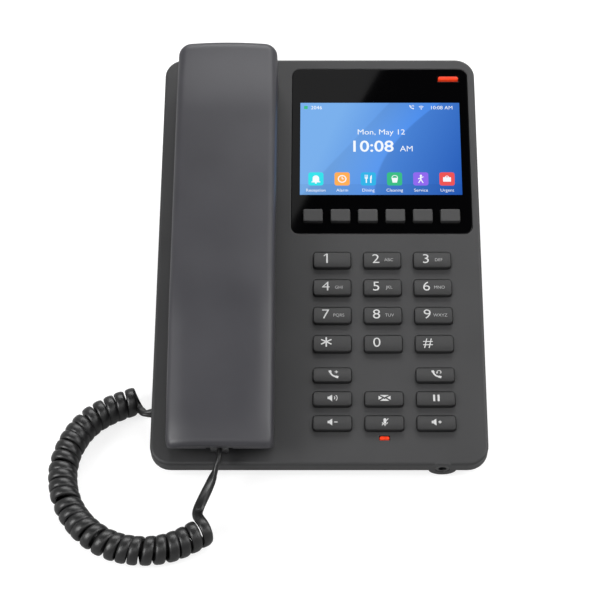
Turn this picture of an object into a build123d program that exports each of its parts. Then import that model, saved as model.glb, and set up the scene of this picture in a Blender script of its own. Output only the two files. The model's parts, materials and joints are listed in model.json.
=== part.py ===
from build123d import *
import os
from math import cos, hypot, pi, radians, sin, tan

# Desk telephone with a display, a handset at the left and a curly cord.
# Millimetres. +Z is up, the desk is z = 0, the user sits at -Y and +X is to the user's right.
# Places on the sloping face are (x, v, w): v runs up the slope from the face's front edge,
# and w stands out from the face. Below the face w is negative.

# ---- Front cover ----
slope = radians(14.0)
plate_width = 144.0
plate_length = 204.0
plate_height = 13.0            # the face's front edge, above the desk
plate_edge = 6.5               # depth of the skirt
plate_corner = 9.0
edge_round = 1.3
top_wall = 2.4
skirt_wall = 2.0
slide_gap = 0.3                # running clearance of a button in its hole
seat_gap = 0.2                 # clearance of a piece on its seat

# ---- Rear housing, stand and feet ----
housing_wall = 2.0
rim_gap = 0.25
rim_ledge = 1.4
tub_inset = 6.0
tub_corner = 6.0
housing_depth = 30.0
foot_height = 2.5
foot_radius = 6.0
screw_radius = 1.5
screw_gap = 0.05
screw_head_radius = 2.6
screw_head_height = 2.2
pillar_radius = 2.9
pillar_side_margin = 5.8       # from the tub's outside to the pillars
pillar_front_margin = 5.6
pillar_rear_margin = 10.8
pillar_front_w = -9.2          # where the cover's front pillars end on the housing's
pillar_rear_w = -17.0
screw_web = 2.0                # wall that a screw's head pulls against
stand_half_width = 62.0
stand_leg = 14.0
stand_front_v = 112.0
stand_rear_v = 186.0
stand_toe = 6.0                # how far the stand's foot lies behind its front edge
stand_rake = 4.0
stand_bar = 22.0
tongue_x = 55.0
tongue_front_v = 122.0
tongue_rear_v = 178.0
tongue_width = 8.0
tongue_thick = 2.0
tab_gap = 0.2
vent_v = 152.0
vent_slots = 9
vent_pitch = 6.0
vent_length = 16.0
vent_slot = 2.4
voice_x = -25.0                # the hands-free microphone
voice_v = 11.0
voice_radius = 2.0
voice_height = 1.5
voice_hole_radius = 0.6
foot_x = 50.0
foot_front_y = 16.0
foot_round = 0.5
keyhole_x = 30.0
keyhole_v = 168.0
keyhole_radius = 4.0
keyhole_slot = 4.4

# ---- Display ----
window_width = 81.4
window_length = 87.7
window_x = 27.9
window_rear_margin = 5.5       # from the face's rear edge to the window
window_corner = 4.0
window_thick = 1.2
panel_width = 76.9
panel_length = 55.0
panel_thick = 3.2
panel_margin = 44.5             # from the window's rear edge to the middle of the display
panel_gap = 0.3
frame_wall = 0.9
frame_floor = 1.0
frame_ledge = 2.0
frame_leg_x = 26.0
frame_leg_radius = 2.0

# ---- Circuit board ----
board_top = -9.0
board_thick = 1.6
board_left = -16.0
board_side_margin = 4.2        # from the pillars' axes to the board's right edge
board_front_v = 9.0
board_gap = 0.5                # from the tub's rear wall to the board
mat_thick = 0.8
arm_left = -58.0
arm_length = 26.0
shield_x = 24.0
shield_v = 70.0
shield_width = 44.0
shield_length = 40.0
shield_height = 3.0
shield_wall = 0.4

# ---- Keys ----
key_travel = 1.0
soft_travel = 0.5
flange_lip = 0.8
flange_thick = 0.9
column_pitch = 22.2
key_x = 27.8                   # the middle column
key_width = 16.2
digit_length = 8.2
digit_pitch = 13.7
digit_top_v = 97.3             # centre of the rear row
function_length = 7.0
function_pitch = 11.25
function_top_v = 41.25
soft_width = 8.73
soft_length = 6.3
soft_pitch = 12.34
soft_first_x = -3.0
soft_margin = 9.05             # from the window's front edge to the soft keys
key_high = 2.0                 # front edge of a scooped key top
key_low = 0.45                 # rear edge of a scooped key top
soft_high = 1.6
key_corner = 1.6
soft_corner = 1.0
light_gap = 0.1
light_stand = 0.25
light_stem = 2.0
light_round = 0.2
key_stem_radius = 2.5
key_rim = 0.9
stop_gap = 0.3                 # left between a pressed key and the mat
collar_height = 2.0
collar_wall = 0.9
light_margin_x = 8.9           # from the window's right edge to the light
light_margin_v = 5.5
light_width = 9.8
light_length = 2.8
mute_light_width = 4.5
mute_light_length = 2.0
mute_light_v = 12.1

# ---- Handset ----
handset_x = -41.8
handset_width = 45.0
handset_wall = 2.0
handset_front_v = 3.0
handset_length = 195.5
handset_lip_w = 16.5           # top of the end nearest the user
handset_lip_round = 1.2
handset_chin_w = 10.2          # where that end turns under
handset_heel_v = 9.0
crease_v = 66.0                # where the sloping paddle meets the upper part
crease_w = 26.0
crest_v = 150.0
crest_w = 27.6
brow_w = 24.0
brow_round = 8.0
handset_crown = 2.8
handset_edge = 4.0
handset_front_corner = 3.0
handset_rear_corner = 9.5
handset_under_w = 1.2
grip_under_w = 9.5
grip_front_v = 74.0
grip_rear_v = 138.0
grip_ramp_front = 14.0
grip_ramp_rear = 8.0
parting_w = 12.0
cradle_depth = 2.6
cradle_floor = 2.0
cup_width = 38.0
ear_cup_margin = 26.5           # from the handset's rear end to the ear cup's middle
ear_cup_length = 42.0
mouth_cup_margin = 31.0         # from its front end to the mouth cup's middle
mouth_cup_length = 40.0
cup_corner = 10.0
cradle_gap = 0.8
sound_hole_radius = 1.0
receiver_radius = 15.0
receiver_height = 7.0
capsule_radius = 5.0
capsule_height = 5.0
weight_v = 102.0
weight_width = 24.0
weight_length = 44.0
weight_height = 6.0
handset_screw_v = (70.0, 134.0)
handset_pad_w = 13.5
handset_boss_radius = 3.6
handset_boss_w = 25.6

# ---- Hook switch ----
hook_travel = 3.0
hook_margin = 12.0             # the plunger stands this far in front of the ear cup's middle
hook_width = 9.0
hook_length = 4.0
hook_flange = 1.0
switch_size = 7.0
switch_height = 3.9

tab_margin = 9.0               # from the ear cup's front edge to the tab
tab_width = 10.0
tab_thick = 3.0
tab_height = 2.2

# ---- Loudspeaker ----
speaker_v = 102.0
speaker_radius = 22.0
speaker_rim = 2.4
magnet_radius = 14.0
magnet_height = 10.0
grille_slots = 8
grille_pitch = 4.0
grille_length = 28.0
grille_slot = 1.6

# ---- Sockets and plugs ----
socket_gap = 0.3
power_width = 9.6
power_height = 4.4
power_depth = 9.0
power_slot_width = 8.6
power_slot_height = 2.9
power_slot_depth = 6.5
power_tongue_width = 6.6
power_tongue_thick = 0.7
power_tongue_setback = 1.0
rj9_width = 11.0
rj9_height = 7.6
rj9_depth = 14.0
rj9_bore_width = 7.95
rj9_bore_height = 6.6
plug_width = 7.65
plug_height = 6.3
plug_depth = 13.0
plug_tail = 4.5
port_v = 28.0
port_w = -10.0
handset_jack_v = 7.8
handset_jack_w = 7.1
handset_plug_v = 3.6
rj9_bore_depth = 10.5
rj45_width = 16.0
rj45_height = 13.5
rj45_depth = 21.0
rj45_bore_width = 11.8
rj45_bore_height = 8.6
rj45_bore_depth = 15.0
rj45_latch_width = 3.4
rj45_latch_depth = 1.5
rj45_x = (-6.0, 12.0)
power_x = 34.0
audio_x = 52.4
audio_w = -5.4
audio_bore_radius = 1.8
audio_sleeve_radius = 3.1
audio_depth = 14.0
audio_boss_radius = 6.0

# ---- Curly cord ----
cord_width = 4.7
coil_width = 12.7
lead_straight = 6.5            # the cord leaves each plug straight for this far

# Places that follow from the sizes above
tub_half = plate_width / 2 - tub_inset
tub_rear_v = plate_length - tub_inset
pillar_x = tub_half - pillar_side_margin
pillar_front_v = tub_inset + pillar_front_margin
pillar_rear_v = tub_rear_v - pillar_rear_margin
board_right = pillar_x - board_side_margin
board_rear_v = tub_rear_v - housing_wall - board_gap
board_under = board_top - board_thick
window_rear_v = plate_length - window_rear_margin
window_v = window_rear_v - window_length / 2
panel_v = window_rear_v - panel_margin
light_x = window_x + window_width / 2 - light_margin_x
light_v = window_rear_v - light_margin_v
soft_v = window_rear_v - window_length + soft_margin
handset_rear_v = handset_front_v + handset_length
handset_v = (handset_front_v + handset_rear_v) / 2
ear_cup_v = handset_rear_v - ear_cup_margin
mouth_cup_v = handset_front_v + mouth_cup_margin
hook_v = ear_cup_v - hook_margin
tab_v = ear_cup_v - ear_cup_length / 2 - tab_margin
mat_top = board_top + mat_thick
flange_top = -top_wall - seat_gap

# The front and rear reach of the whole phone set where the face's front edge lies in Y, so that
# the phone is centred on the origin.
paddle_rise = (crease_w - handset_lip_w) / (crease_v - handset_front_v)
lip_centre_w = handset_lip_w + handset_lip_round * (paddle_rise - hypot(1, paddle_rise))
handset_reach = (
    (handset_front_v + handset_lip_round) * cos(slope)
    - lip_centre_w * sin(slope)
    - handset_lip_round
)
front_reach = min(edge_round * (cos(slope) + sin(slope) - 1), handset_reach)
rear_reach = max(
    plate_length * cos(slope) + plate_edge * sin(slope),
    (plate_length - tub_inset) * cos(slope) + housing_depth * sin(slope),
)
front_y = -(front_reach + rear_reach) / 2

deck = Plane(
    origin=(0, front_y, plate_height),
    x_dir=(1, 0, 0),
    z_dir=(0, -sin(slope), cos(slope)),
)
side = Plane(origin=deck.origin, x_dir=deck.y_dir, z_dir=deck.x_dir)
cross = Plane(origin=deck.origin, x_dir=deck.x_dir, z_dir=-deck.y_dir)
outward = Axis(deck.origin, deck.z_dir)


os.makedirs("parts", exist_ok=True)


def save(piece, node):
    piece.part.label = node
    export_step(piece.part, f"parts/{node}.step")


def floor_w(v, z):
    """Depth w at which the level z is met, at v along the slope."""
    return (z - plate_height - v * sin(slope)) / cos(slope)


def block(x, v, low, high, width, length, corner=0.0):
    """An upright prism on the face: a rectangle, rounded in plan if corner is given."""
    with BuildPart() as solid:
        with BuildSketch(deck.offset(low)):
            with Locations((x, v)):
                if corner > 0:
                    RectangleRounded(width, length, corner)
                else:
                    Rectangle(width, length)
        extrude(amount=high - low)
    return solid.part


def rod(x, v, low, high, radius):
    """An upright cylinder on the face."""
    with BuildPart() as solid:
        with BuildSketch(deck.offset(low)):
            with Locations((x, v)):
                Circle(radius)
        extrude(amount=high - low)
    return solid.part


def tunnel(x, w, front_v, rear_v, radius):
    """A cylinder that runs up the slope."""
    with BuildPart() as solid:
        with BuildSketch(cross.offset(-front_v)):
            with Locations((x, w)):
                Circle(radius)
        extrude(amount=front_v - rear_v)
    return solid.part


def tub(inset, top, level):
    """The housing's lower shape, each face moved in by inset, between top and the floor level."""
    front = tub_inset + inset
    rear = tub_rear_v - inset
    bottom = -housing_depth + inset
    heel = (level - plate_height - bottom * cos(slope)) / sin(slope)
    with BuildPart() as solid:
        with BuildSketch(side.offset(-tub_half + inset)):
            with BuildLine():
                Polyline(
                    (front, top),
                    (rear, top),
                    (rear, bottom),
                    (heel, bottom),
                    (front, floor_w(front, level)),
                    close=True,
                )
            make_face()
        extrude(amount=2 * (tub_half - inset))
        with BuildSketch(deck.offset(-2 * housing_depth)):
            with Locations((0, plate_length / 2)):
                RectangleRounded(2 * (tub_half - inset), rear - front, tub_corner - inset / 2)
        extrude(amount=2 * housing_depth, mode=Mode.INTERSECT)
    return solid.part


# ---- Places of the keys: node name, x, v, width, length, scooped top, travel ----
digit_rows = (
    ("key_1", "key_2", "key_3"),
    ("key_4", "key_5", "key_6"),
    ("key_7", "key_8", "key_9"),
    ("key_star", "key_0", "key_hash"),
)
function_rows = (
    ("key_call", None, "key_redial"),
    ("key_speaker", "key_message", "key_hold"),
    ("key_volume_down", "key_mute", "key_volume_up"),
)
keys = []
for rows, top_v, pitch, length in (
    (digit_rows, digit_top_v, digit_pitch, digit_length),
    (function_rows, function_top_v, function_pitch, function_length),
):
    for row, names in enumerate(rows):
        for column, node in enumerate(names):
            if node:
                x = key_x + (column - 1) * column_pitch
                keys.append((node, x, top_v - row * pitch, key_width, length, True))
for number in range(6):
    x = soft_first_x + number * soft_pitch
    keys.append((f"soft_key_{number + 1}", x, soft_v, soft_width, soft_length, False))

pillars = [
    (x, v, w)
    for x in (-pillar_x, pillar_x)
    for v, w in ((pillar_front_v, pillar_front_w), (pillar_rear_v, pillar_rear_w))
]
cups = ((ear_cup_v, ear_cup_length), (mouth_cup_v, mouth_cup_length))
lights = (
    (light_x, light_v, light_width, light_length),
    (key_x, mute_light_v, mute_light_width, mute_light_length),
)

# ---- Front cover ----
with BuildPart() as front_cover:
    add(block(0, plate_length / 2, -plate_edge, 0, plate_width, plate_length, plate_corner))
    fillet(front_cover.faces().sort_by(outward)[-1].edges(), edge_round)
    with BuildSketch(deck.offset(-plate_edge)):
        with Locations((0, plate_length / 2)):
            RectangleRounded(
                plate_width - 2 * skirt_wall,
                plate_length - 2 * skirt_wall,
                plate_corner - skirt_wall,
            )
    extrude(amount=plate_edge - top_wall, mode=Mode.SUBTRACT)
    # Floors of the two cradle pockets, and the pillars that the housing's screws enter
    with BuildSketch(deck.offset(-top_wall)):
        for v, length in cups:
            with Locations((handset_x, v)):
                border = 2 * (cradle_gap + cradle_floor)
                RectangleRounded(cup_width + border, length + border, cup_corner)
    extrude(amount=top_wall - cradle_depth - cradle_floor)
    for x, v, w in pillars:
        add(rod(x, v, w, -top_wall, pillar_radius))
        add(rod(x, v, w, -top_wall - 1, screw_radius + screw_gap), mode=Mode.SUBTRACT)
    # Half-round boss of the audio socket, below the front skirt
    add(tunnel(audio_x, audio_w, 0.0, audio_depth, audio_boss_radius))
    boss_top = block(audio_x, audio_depth / 2, 0, 5, 20, 2 * audio_depth)
    add(boss_top, mode=Mode.SUBTRACT)
    bore = tunnel(audio_x, audio_w, -1, audio_depth + 1, audio_sleeve_radius + 0.1)
    add(bore, mode=Mode.SUBTRACT)
    # The cradle pockets
    with BuildSketch(deck):
        for v, length in cups:
            with Locations((handset_x, v)):
                RectangleRounded(cup_width + 2 * cradle_gap, length + 2 * cradle_gap, cup_corner)
    extrude(amount=-cradle_depth, mode=Mode.SUBTRACT)
    # The window's recess
    with BuildSketch(deck):
        with Locations((window_x, window_v)):
            RectangleRounded(window_width + 0.2, window_length + 0.2, window_corner)
    extrude(amount=-window_thick, mode=Mode.SUBTRACT)
    # Holes through the face: keys, display, lights, hook plunger, wall tab and grille
    with BuildSketch(deck):
        for node, x, v, width, length, scooped in keys:
            with Locations((x, v)):
                corner = key_corner if scooped else soft_corner
                RectangleRounded(width + 2 * slide_gap, length + 2 * slide_gap, corner)
        with Locations((key_x, panel_v)):
            Rectangle(panel_width + 2 * panel_gap, panel_length + 2 * panel_gap)
        for x, v, width, length in lights:
            with Locations((x, v)):
                Rectangle(width + 2 * light_gap, length + 2 * light_gap)
        with Locations((handset_x, hook_v)):
            Rectangle(hook_width + 2 * slide_gap, hook_length + 2 * slide_gap)
        with Locations((handset_x, tab_v)):
            Rectangle(tab_width + 2 * tab_gap, tab_thick + 2 * tab_gap)
        with Locations((handset_x, speaker_v)):
            with GridLocations(0, grille_pitch, 1, grille_slots):
                SlotOverall(grille_length, grille_slot)
    extrude(amount=-cradle_depth - cradle_floor, mode=Mode.SUBTRACT)
save(front_cover, "front_cover")

voice_y = deck.from_local_coords((voice_x, voice_v, floor_w(voice_v, foot_height))).Y

# ---- Rear housing: a rim that fits inside the cover's skirt, and the tub below it ----
rim = skirt_wall + rim_gap
rim_bottom = -plate_edge - rim_ledge
with BuildPart() as rear_housing:
    with BuildSketch(deck.offset(rim_bottom)):
        with Locations((0, plate_length / 2)):
            RectangleRounded(
                plate_width - 2 * rim, plate_length - 2 * rim, plate_corner - rim
            )
    extrude(amount=-top_wall - rim_bottom)
    add(tub(0, rim_bottom + 0.5, foot_height))
    with BuildSketch(deck.offset(rim_bottom + housing_wall)):
        with Locations((0, plate_length / 2)):
            RectangleRounded(
                plate_width - 2 * rim - 2 * housing_wall,
                plate_length - 2 * rim - 2 * housing_wall,
                plate_corner - rim - housing_wall,
            )
    extrude(amount=plate_edge, mode=Mode.SUBTRACT)
    add(tub(housing_wall, 0, foot_height + housing_wall), mode=Mode.SUBTRACT)
    # Pillars that carry the cover's, with a pocket for each screw's head
    for x, v, w in pillars:
        outside = max(floor_w(v, foot_height), -housing_depth)
        add(rod(x, v, outside + 1.0, w, pillar_radius + 0.7))
        head_pocket = rod(x, v, outside - 5, w - screw_web, screw_head_radius + 0.2)
        add(head_pocket, mode=Mode.SUBTRACT)
        add(rod(x, v, outside, w + 1, screw_radius + screw_gap), mode=Mode.SUBTRACT)
    # The boss of the audio socket passes the rim and the front wall
    boss_way = tunnel(audio_x, audio_w, 0, audio_depth + rim_gap, audio_boss_radius + rim_gap)
    add(boss_way, mode=Mode.SUBTRACT)
    # Ports in the rear wall, and the handset's port in the left wall
    rear_wall_v = tub_rear_v - housing_wall / 2
    for x in rj45_x:
        way = block(
            x,
            rear_wall_v,
            board_under - rj45_height - socket_gap,
            board_under + socket_gap,
            rj45_width + 2 * socket_gap,
            2 * housing_wall,
        )
        add(way, mode=Mode.SUBTRACT)
    way = block(
        power_x,
        rear_wall_v,
        board_under - power_height - socket_gap,
        board_under + socket_gap,
        power_width + 2 * socket_gap,
        2 * housing_wall,
    )
    add(way, mode=Mode.SUBTRACT)
    way = block(
        -tub_half + housing_wall / 2,
        port_v,
        port_w - rj9_height / 2 - socket_gap,
        port_w + rj9_height / 2 + socket_gap,
        2 * housing_wall,
        rj9_width + 2 * socket_gap,
    )
    add(way, mode=Mode.SUBTRACT)
    # Relief in the rim's ledge above the plug's tail
    relief_high = port_w + plug_height / 2 + socket_gap
    relief_wide = plug_width + 2 * socket_gap
    relief = block(-tub_half, port_v, rim_bottom, relief_high, 2 * tub_inset, relief_wide)
    add(relief, mode=Mode.SUBTRACT)
    # Keyholes and cooling slots in the lower rear face
    with BuildSketch(deck.offset(-housing_depth)):
        for x in (-keyhole_x, keyhole_x):
            with Locations((x, keyhole_v)):
                Circle(keyhole_radius)
            with Locations((x, keyhole_v + keyhole_radius)):
                Rectangle(keyhole_slot, 2 * keyhole_radius)
        with Locations((0, vent_v)):
            with GridLocations(vent_pitch, 0, vent_slots, 1):
                SlotOverall(vent_length, vent_slot, rotation=90)
    extrude(amount=housing_wall, mode=Mode.SUBTRACT)
    # Slots that the stand's tongues clip into
    with BuildSketch(deck.offset(-housing_depth)):
        for x in (-tongue_x, tongue_x):
            for v in (tongue_front_v, tongue_rear_v):
                with Locations((x, v)):
                    Rectangle(tongue_width + 2 * tab_gap, tongue_thick + 2 * tab_gap)
    extrude(amount=housing_wall, mode=Mode.SUBTRACT)
    # Sound hole of the hands-free microphone
    with BuildSketch(Plane.XY.offset(foot_height)):
        with Locations((voice_x, voice_y)):
            Circle(voice_hole_radius)
    extrude(amount=housing_wall, mode=Mode.SUBTRACT)
save(rear_housing, "rear_housing")

# ---- Desk stand: two legs joined by a cross bar, clipped to the housing's lower rear face ----
stand_top = -housing_depth
stand_level = foot_height
with BuildPart() as desk_stand:
    with BuildSketch(Plane.YZ.offset(-stand_half_width)):
        with BuildLine():
            front = deck.from_local_coords((0, stand_front_v, stand_top))
            rear = deck.from_local_coords((0, stand_rear_v, stand_top))
            Polyline(
                (front.Y, front.Z),
                (rear.Y, rear.Z),
                (rear.Y - stand_rake, stand_level),
                (front.Y + stand_toe, stand_level),
                close=True,
            )
        make_face()
    extrude(amount=2 * stand_half_width)
    # The way for cables, open at the back and below
    with BuildSketch(Plane.YZ.offset(-stand_half_width + stand_leg)):
        with Locations((front.Y + stand_bar + 100, 0)):
            Rectangle(200, 200)
    extrude(amount=2 * (stand_half_width - stand_leg), mode=Mode.SUBTRACT)
    for x in (-tongue_x, tongue_x):
        for v in (tongue_front_v, tongue_rear_v):
            low = stand_top - 1.0
            high = stand_top + housing_wall - seat_gap
            add(block(x, v, low, high, tongue_width, tongue_thick))
save(desk_stand, "desk_stand")

# ---- Rubber feet: two under the housing's front, two under the stand ----
with BuildPart() as rubber_feet:
    with BuildSketch(Plane.XY):
        for x in (-foot_x, foot_x):
            for y in (front_y + foot_front_y, (front.Y + stand_toe + rear.Y - stand_rake) / 2):
                with Locations((x, y)):
                    Circle(foot_radius)
    extrude(amount=foot_height)
    fillet(rubber_feet.faces().sort_by(Axis.Z)[0].edges(), foot_round)
save(rubber_feet, "rubber_feet")

# ---- Screws that hold the housing to the cover ----
with BuildPart() as housing_screws:
    for x, v, w in pillars:
        seat = w - screw_web
        add(rod(x, v, seat - screw_head_height, seat, screw_head_radius))
        add(rod(x, v, seat, -top_wall - 1.5, screw_radius))
        drive = rod(x, v, seat - screw_head_height, seat - screw_head_height + 1.2, 1.1)
        add(drive, mode=Mode.SUBTRACT)
save(housing_screws, "housing_screws")

# ---- Window, display and its frame ----
with BuildPart() as display_window:
    add(block(window_x, window_v, -window_thick, 0, window_width, window_length, window_corner))
    chamfer(display_window.faces().sort_by(outward)[-1].edges(), 0.2)
    with BuildSketch(deck):
        for node, x, v, width, length, scooped in keys:
            if not scooped:
                with Locations((x, v)):
                    RectangleRounded(width + 2 * slide_gap, length + 2 * slide_gap, soft_corner)
        with Locations((light_x, light_v)):
            Rectangle(light_width + 2 * light_gap, light_length + 2 * light_gap)
    extrude(amount=-window_thick, mode=Mode.SUBTRACT)
save(display_window, "display_window")

panel_high = -window_thick - light_gap
panel_low = panel_high - panel_thick
with BuildPart() as display_panel:
    add(block(key_x, panel_v, panel_low, panel_high, panel_width, panel_length))
save(display_panel, "display_panel")

with BuildPart() as display_frame:
    wide = panel_width + 2 * panel_gap
    long = panel_length + 2 * panel_gap
    tray = panel_low - light_gap - frame_floor
    add(block(key_x, panel_v, tray, -top_wall, wide + 2 * frame_wall, long + 2 * frame_wall))
    add(block(key_x, panel_v, tray + frame_floor, 0, wide, long), mode=Mode.SUBTRACT)
    window = block(key_x, panel_v, tray, 0, wide - 2 * frame_ledge, long - 2 * frame_ledge)
    add(window, mode=Mode.SUBTRACT)
    for x in (key_x - frame_leg_x, key_x + frame_leg_x):
        for v in (panel_v - panel_length / 2 + 3, panel_v + panel_length / 2 - 3):
            add(rod(x, v, board_top, tray + frame_floor, frame_leg_radius))
save(display_frame, "display_frame")

# ---- Light guides of the two lamps ----
def light_guide(x, v, width, length, stem_x):
    with BuildPart() as guide:
        add(block(x, v, -top_wall, light_stand, width, length))
        add(block(stem_x, v, board_top, -top_wall, light_stem, length))
        fillet(guide.faces().sort_by(outward)[-1].edges(), light_round)
    return guide


stem_x = light_x - light_width / 2 + light_stem / 2
save(light_guide(light_x, light_v, light_width, light_length, stem_x), "message_light")
mute_guide = light_guide(key_x, mute_light_v, mute_light_width, mute_light_length, key_x)
save(mute_guide, "mute_light")

# ---- Keys: cap, retaining flange and stem in one piece ----
def stem_radius(length):
    return min(key_stem_radius, length / 2 - 1.1)


def make_key(x, v, width, length, scooped):
    front = v - length / 2
    rear = v + length / 2
    travel = key_travel if scooped else soft_travel
    with BuildPart() as key:
        with BuildSketch(side.offset(x - width / 2)):
            with BuildLine():
                if scooped:
                    scoop = (v + 0.1 * length, key_low + 0.42 * (key_high - key_low) - 0.25)
                    Polyline((rear, key_low), (rear, flange_top), (front, flange_top),
                             (front, key_high), (front + key_rim, key_high))
                    ThreePointArc((front + key_rim, key_high), scoop, (rear, key_low))
                else:
                    Polyline((rear, soft_high - 0.3), (rear, flange_top), (front, flange_top),
                             (front, soft_high), close=True)
            make_face()
        extrude(amount=width)
        fillet(key.edges().filter_by(outward), (key_corner if scooped else soft_corner) - slide_gap)
        lip = flange_lip
        add(block(x, v, flange_top - flange_thick, flange_top, width + 2 * lip, length + 2 * lip))
        radius = stem_radius(length)
        add(rod(x, v, mat_top + travel + stop_gap, flange_top - flange_thick, radius))
    return key


for node, x, v, width, length, scooped in keys:
    save(make_key(x, v, width, length, scooped), node)

# ---- Main board, with an arm under the hook switch, and the rubber dome mat on it ----
with BuildPart() as main_board:
    with BuildSketch(deck.offset(board_top - board_thick)):
        with Locations(((board_left + board_right) / 2, (board_front_v + board_rear_v) / 2)):
            Rectangle(board_right - board_left, board_rear_v - board_front_v)
        with Locations(((arm_left + board_left) / 2, hook_v)):
            Rectangle(board_left - arm_left, arm_length)
        # Corner left out for the audio socket's boss
        with Locations((audio_x, audio_depth / 2)):
            clear = 2 * audio_boss_radius + 1
            Rectangle(clear, audio_depth + 1, mode=Mode.SUBTRACT)
    extrude(amount=board_thick)
save(main_board, "main_board")

with BuildPart() as key_dome_mat:
    mat_front_v = audio_depth + 0.6
    mat_rear_v = soft_v + soft_length / 2 + 1.5
    mat_left = soft_first_x - soft_width / 2 - 1.5
    mat_right = board_right - 0.5
    middle = ((mat_left + mat_right) / 2, (mat_front_v + mat_rear_v) / 2)
    size = (mat_right - mat_left, mat_rear_v - mat_front_v)
    add(block(*middle, board_top, mat_top, *size))
    for node, x, v, width, length, scooped in keys:
        if x < mat_right - 4:
            radius = stem_radius(length) + slide_gap
            add(rod(x, v, mat_top, mat_top + collar_height, radius + collar_wall))
            add(rod(x, v, mat_top, mat_top + collar_height, radius), mode=Mode.SUBTRACT)
save(key_dome_mat, "key_dome_mat")

# ---- Hook switch, its plunger, and the tab that holds the handset on a wall ----
hook_flange_top = -cradle_depth - cradle_floor - hook_travel - seat_gap
with BuildPart() as hook_plunger:
    cup_under = -cradle_depth + slide_gap
    add(block(handset_x, hook_v, hook_flange_top, cup_under - 0.1, hook_width, hook_length))
    add(block(handset_x, hook_v, hook_flange_top - hook_flange, hook_flange_top,
              hook_width + 2 * hook_flange, hook_length + 2 * hook_flange))
save(hook_plunger, "hook_plunger")

with BuildPart() as hook_switch:
    switch_x = handset_x + hook_width / 2 + hook_flange + slide_gap + switch_size / 2
    add(block(switch_x, hook_v, board_top, board_top + switch_height, switch_size, switch_size))
save(hook_switch, "hook_switch")

with BuildPart() as wall_hang_tab:
    add(block(handset_x, tab_v, -top_wall - 1.6, tab_height, tab_width, tab_thick))
    add(block(handset_x, tab_v + 0.6, 0, 0.8, tab_width + 2.5, tab_thick + 2))
save(wall_hang_tab, "wall_hang_tab")

# ---- Loudspeaker under the grille, and the hands-free microphone ----
with BuildPart() as loudspeaker:
    top = -top_wall
    add(rod(handset_x, speaker_v, top - speaker_rim, top, speaker_radius))
    add(rod(handset_x, speaker_v, top - speaker_rim - magnet_height, top - speaker_rim,
            magnet_radius))
    add(rod(handset_x, speaker_v, top - 1.6, top, speaker_radius - 2), mode=Mode.SUBTRACT)
save(loudspeaker, "loudspeaker")

with BuildPart() as handsfree_microphone:
    with BuildSketch(Plane.XY.offset(foot_height + housing_wall)):
        with Locations((voice_x, voice_y)):
            Circle(voice_radius)
    extrude(amount=voice_height)
save(handsfree_microphone, "handsfree_microphone")

# ---- Sockets on the board ----
with BuildPart() as network_jacks:
    for x in rj45_x:
        middle_w = board_under - rj45_height / 2
        v = tub_rear_v - rj45_depth / 2
        add(block(x, v, board_under - rj45_height, board_under, rj45_width, rj45_depth))
        low = middle_w - rj45_bore_height / 2
        high = middle_w + rj45_bore_height / 2
        bore_v = tub_rear_v - rj45_bore_depth / 2
        add(block(x, bore_v, low, high, rj45_bore_width, rj45_bore_depth), mode=Mode.SUBTRACT)
        latch = block(x, bore_v, low - rj45_latch_depth, low, rj45_latch_width, rj45_bore_depth)
        add(latch, mode=Mode.SUBTRACT)
save(network_jacks, "network_jacks")

with BuildPart() as power_socket:
    v = tub_rear_v - power_depth / 2
    low = board_under - power_height
    add(block(power_x, v, low, board_under, power_width, power_depth))
    with BuildSketch(cross.offset(-tub_rear_v)):
        with Locations((power_x, low + power_height / 2)):
            SlotOverall(power_slot_width, power_slot_height)
    extrude(amount=power_slot_depth, mode=Mode.SUBTRACT)
    with BuildSketch(cross.offset(-tub_rear_v + power_tongue_setback)):
        with Locations((power_x, low + power_height / 2)):
            Rectangle(power_tongue_width, power_tongue_thick)
    extrude(amount=power_slot_depth - 0.5)
save(power_socket, "power_socket")

with BuildPart() as handset_port:
    add(block(-tub_half + rj9_depth / 2, port_v, port_w - rj9_height / 2,
              port_w + rj9_height / 2, rj9_depth, rj9_width))
    add(block(-tub_half + rj9_bore_depth / 2, port_v, port_w - rj9_bore_height / 2,
              port_w + rj9_bore_height / 2, rj9_bore_depth, rj9_bore_width),
        mode=Mode.SUBTRACT)
save(handset_port, "handset_port")

with BuildPart() as headset_jack:
    add(tunnel(audio_x, audio_w, 0.2, audio_depth, audio_sleeve_radius))
    add(tunnel(audio_x, audio_w, 0, audio_depth, audio_bore_radius), mode=Mode.SUBTRACT)
save(headset_jack, "headset_jack")

with BuildPart() as board_shield:
    can = (shield_x, shield_v, board_under - shield_height, board_under)
    add(block(*can, shield_width, shield_length))
    inner = (shield_width - 2 * shield_wall, shield_length - 2 * shield_wall)
    add(block(shield_x, shield_v, can[2] + shield_wall, board_under, *inner), mode=Mode.SUBTRACT)
save(board_shield, "board_shield")

# ---- Handset ----
handset_outline = (
    # v, w, radius of the corner
    (handset_heel_v, handset_under_w, 2.0),
    (handset_front_v, handset_chin_w, 1.0),
    (handset_front_v, handset_lip_w, handset_lip_round),
    (crease_v, crease_w, 120.0),
    (crest_v, crest_w, 200.0),
    (handset_rear_v, brow_w, brow_round),
    (handset_rear_v, handset_under_w, 2.0),
    (grip_rear_v + grip_ramp_rear, handset_under_w, 4.0),
    (grip_rear_v, grip_under_w, 4.0),
    (grip_front_v, grip_under_w, 6.0),
    (grip_front_v - grip_ramp_front, handset_under_w, 6.0),
)


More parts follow.
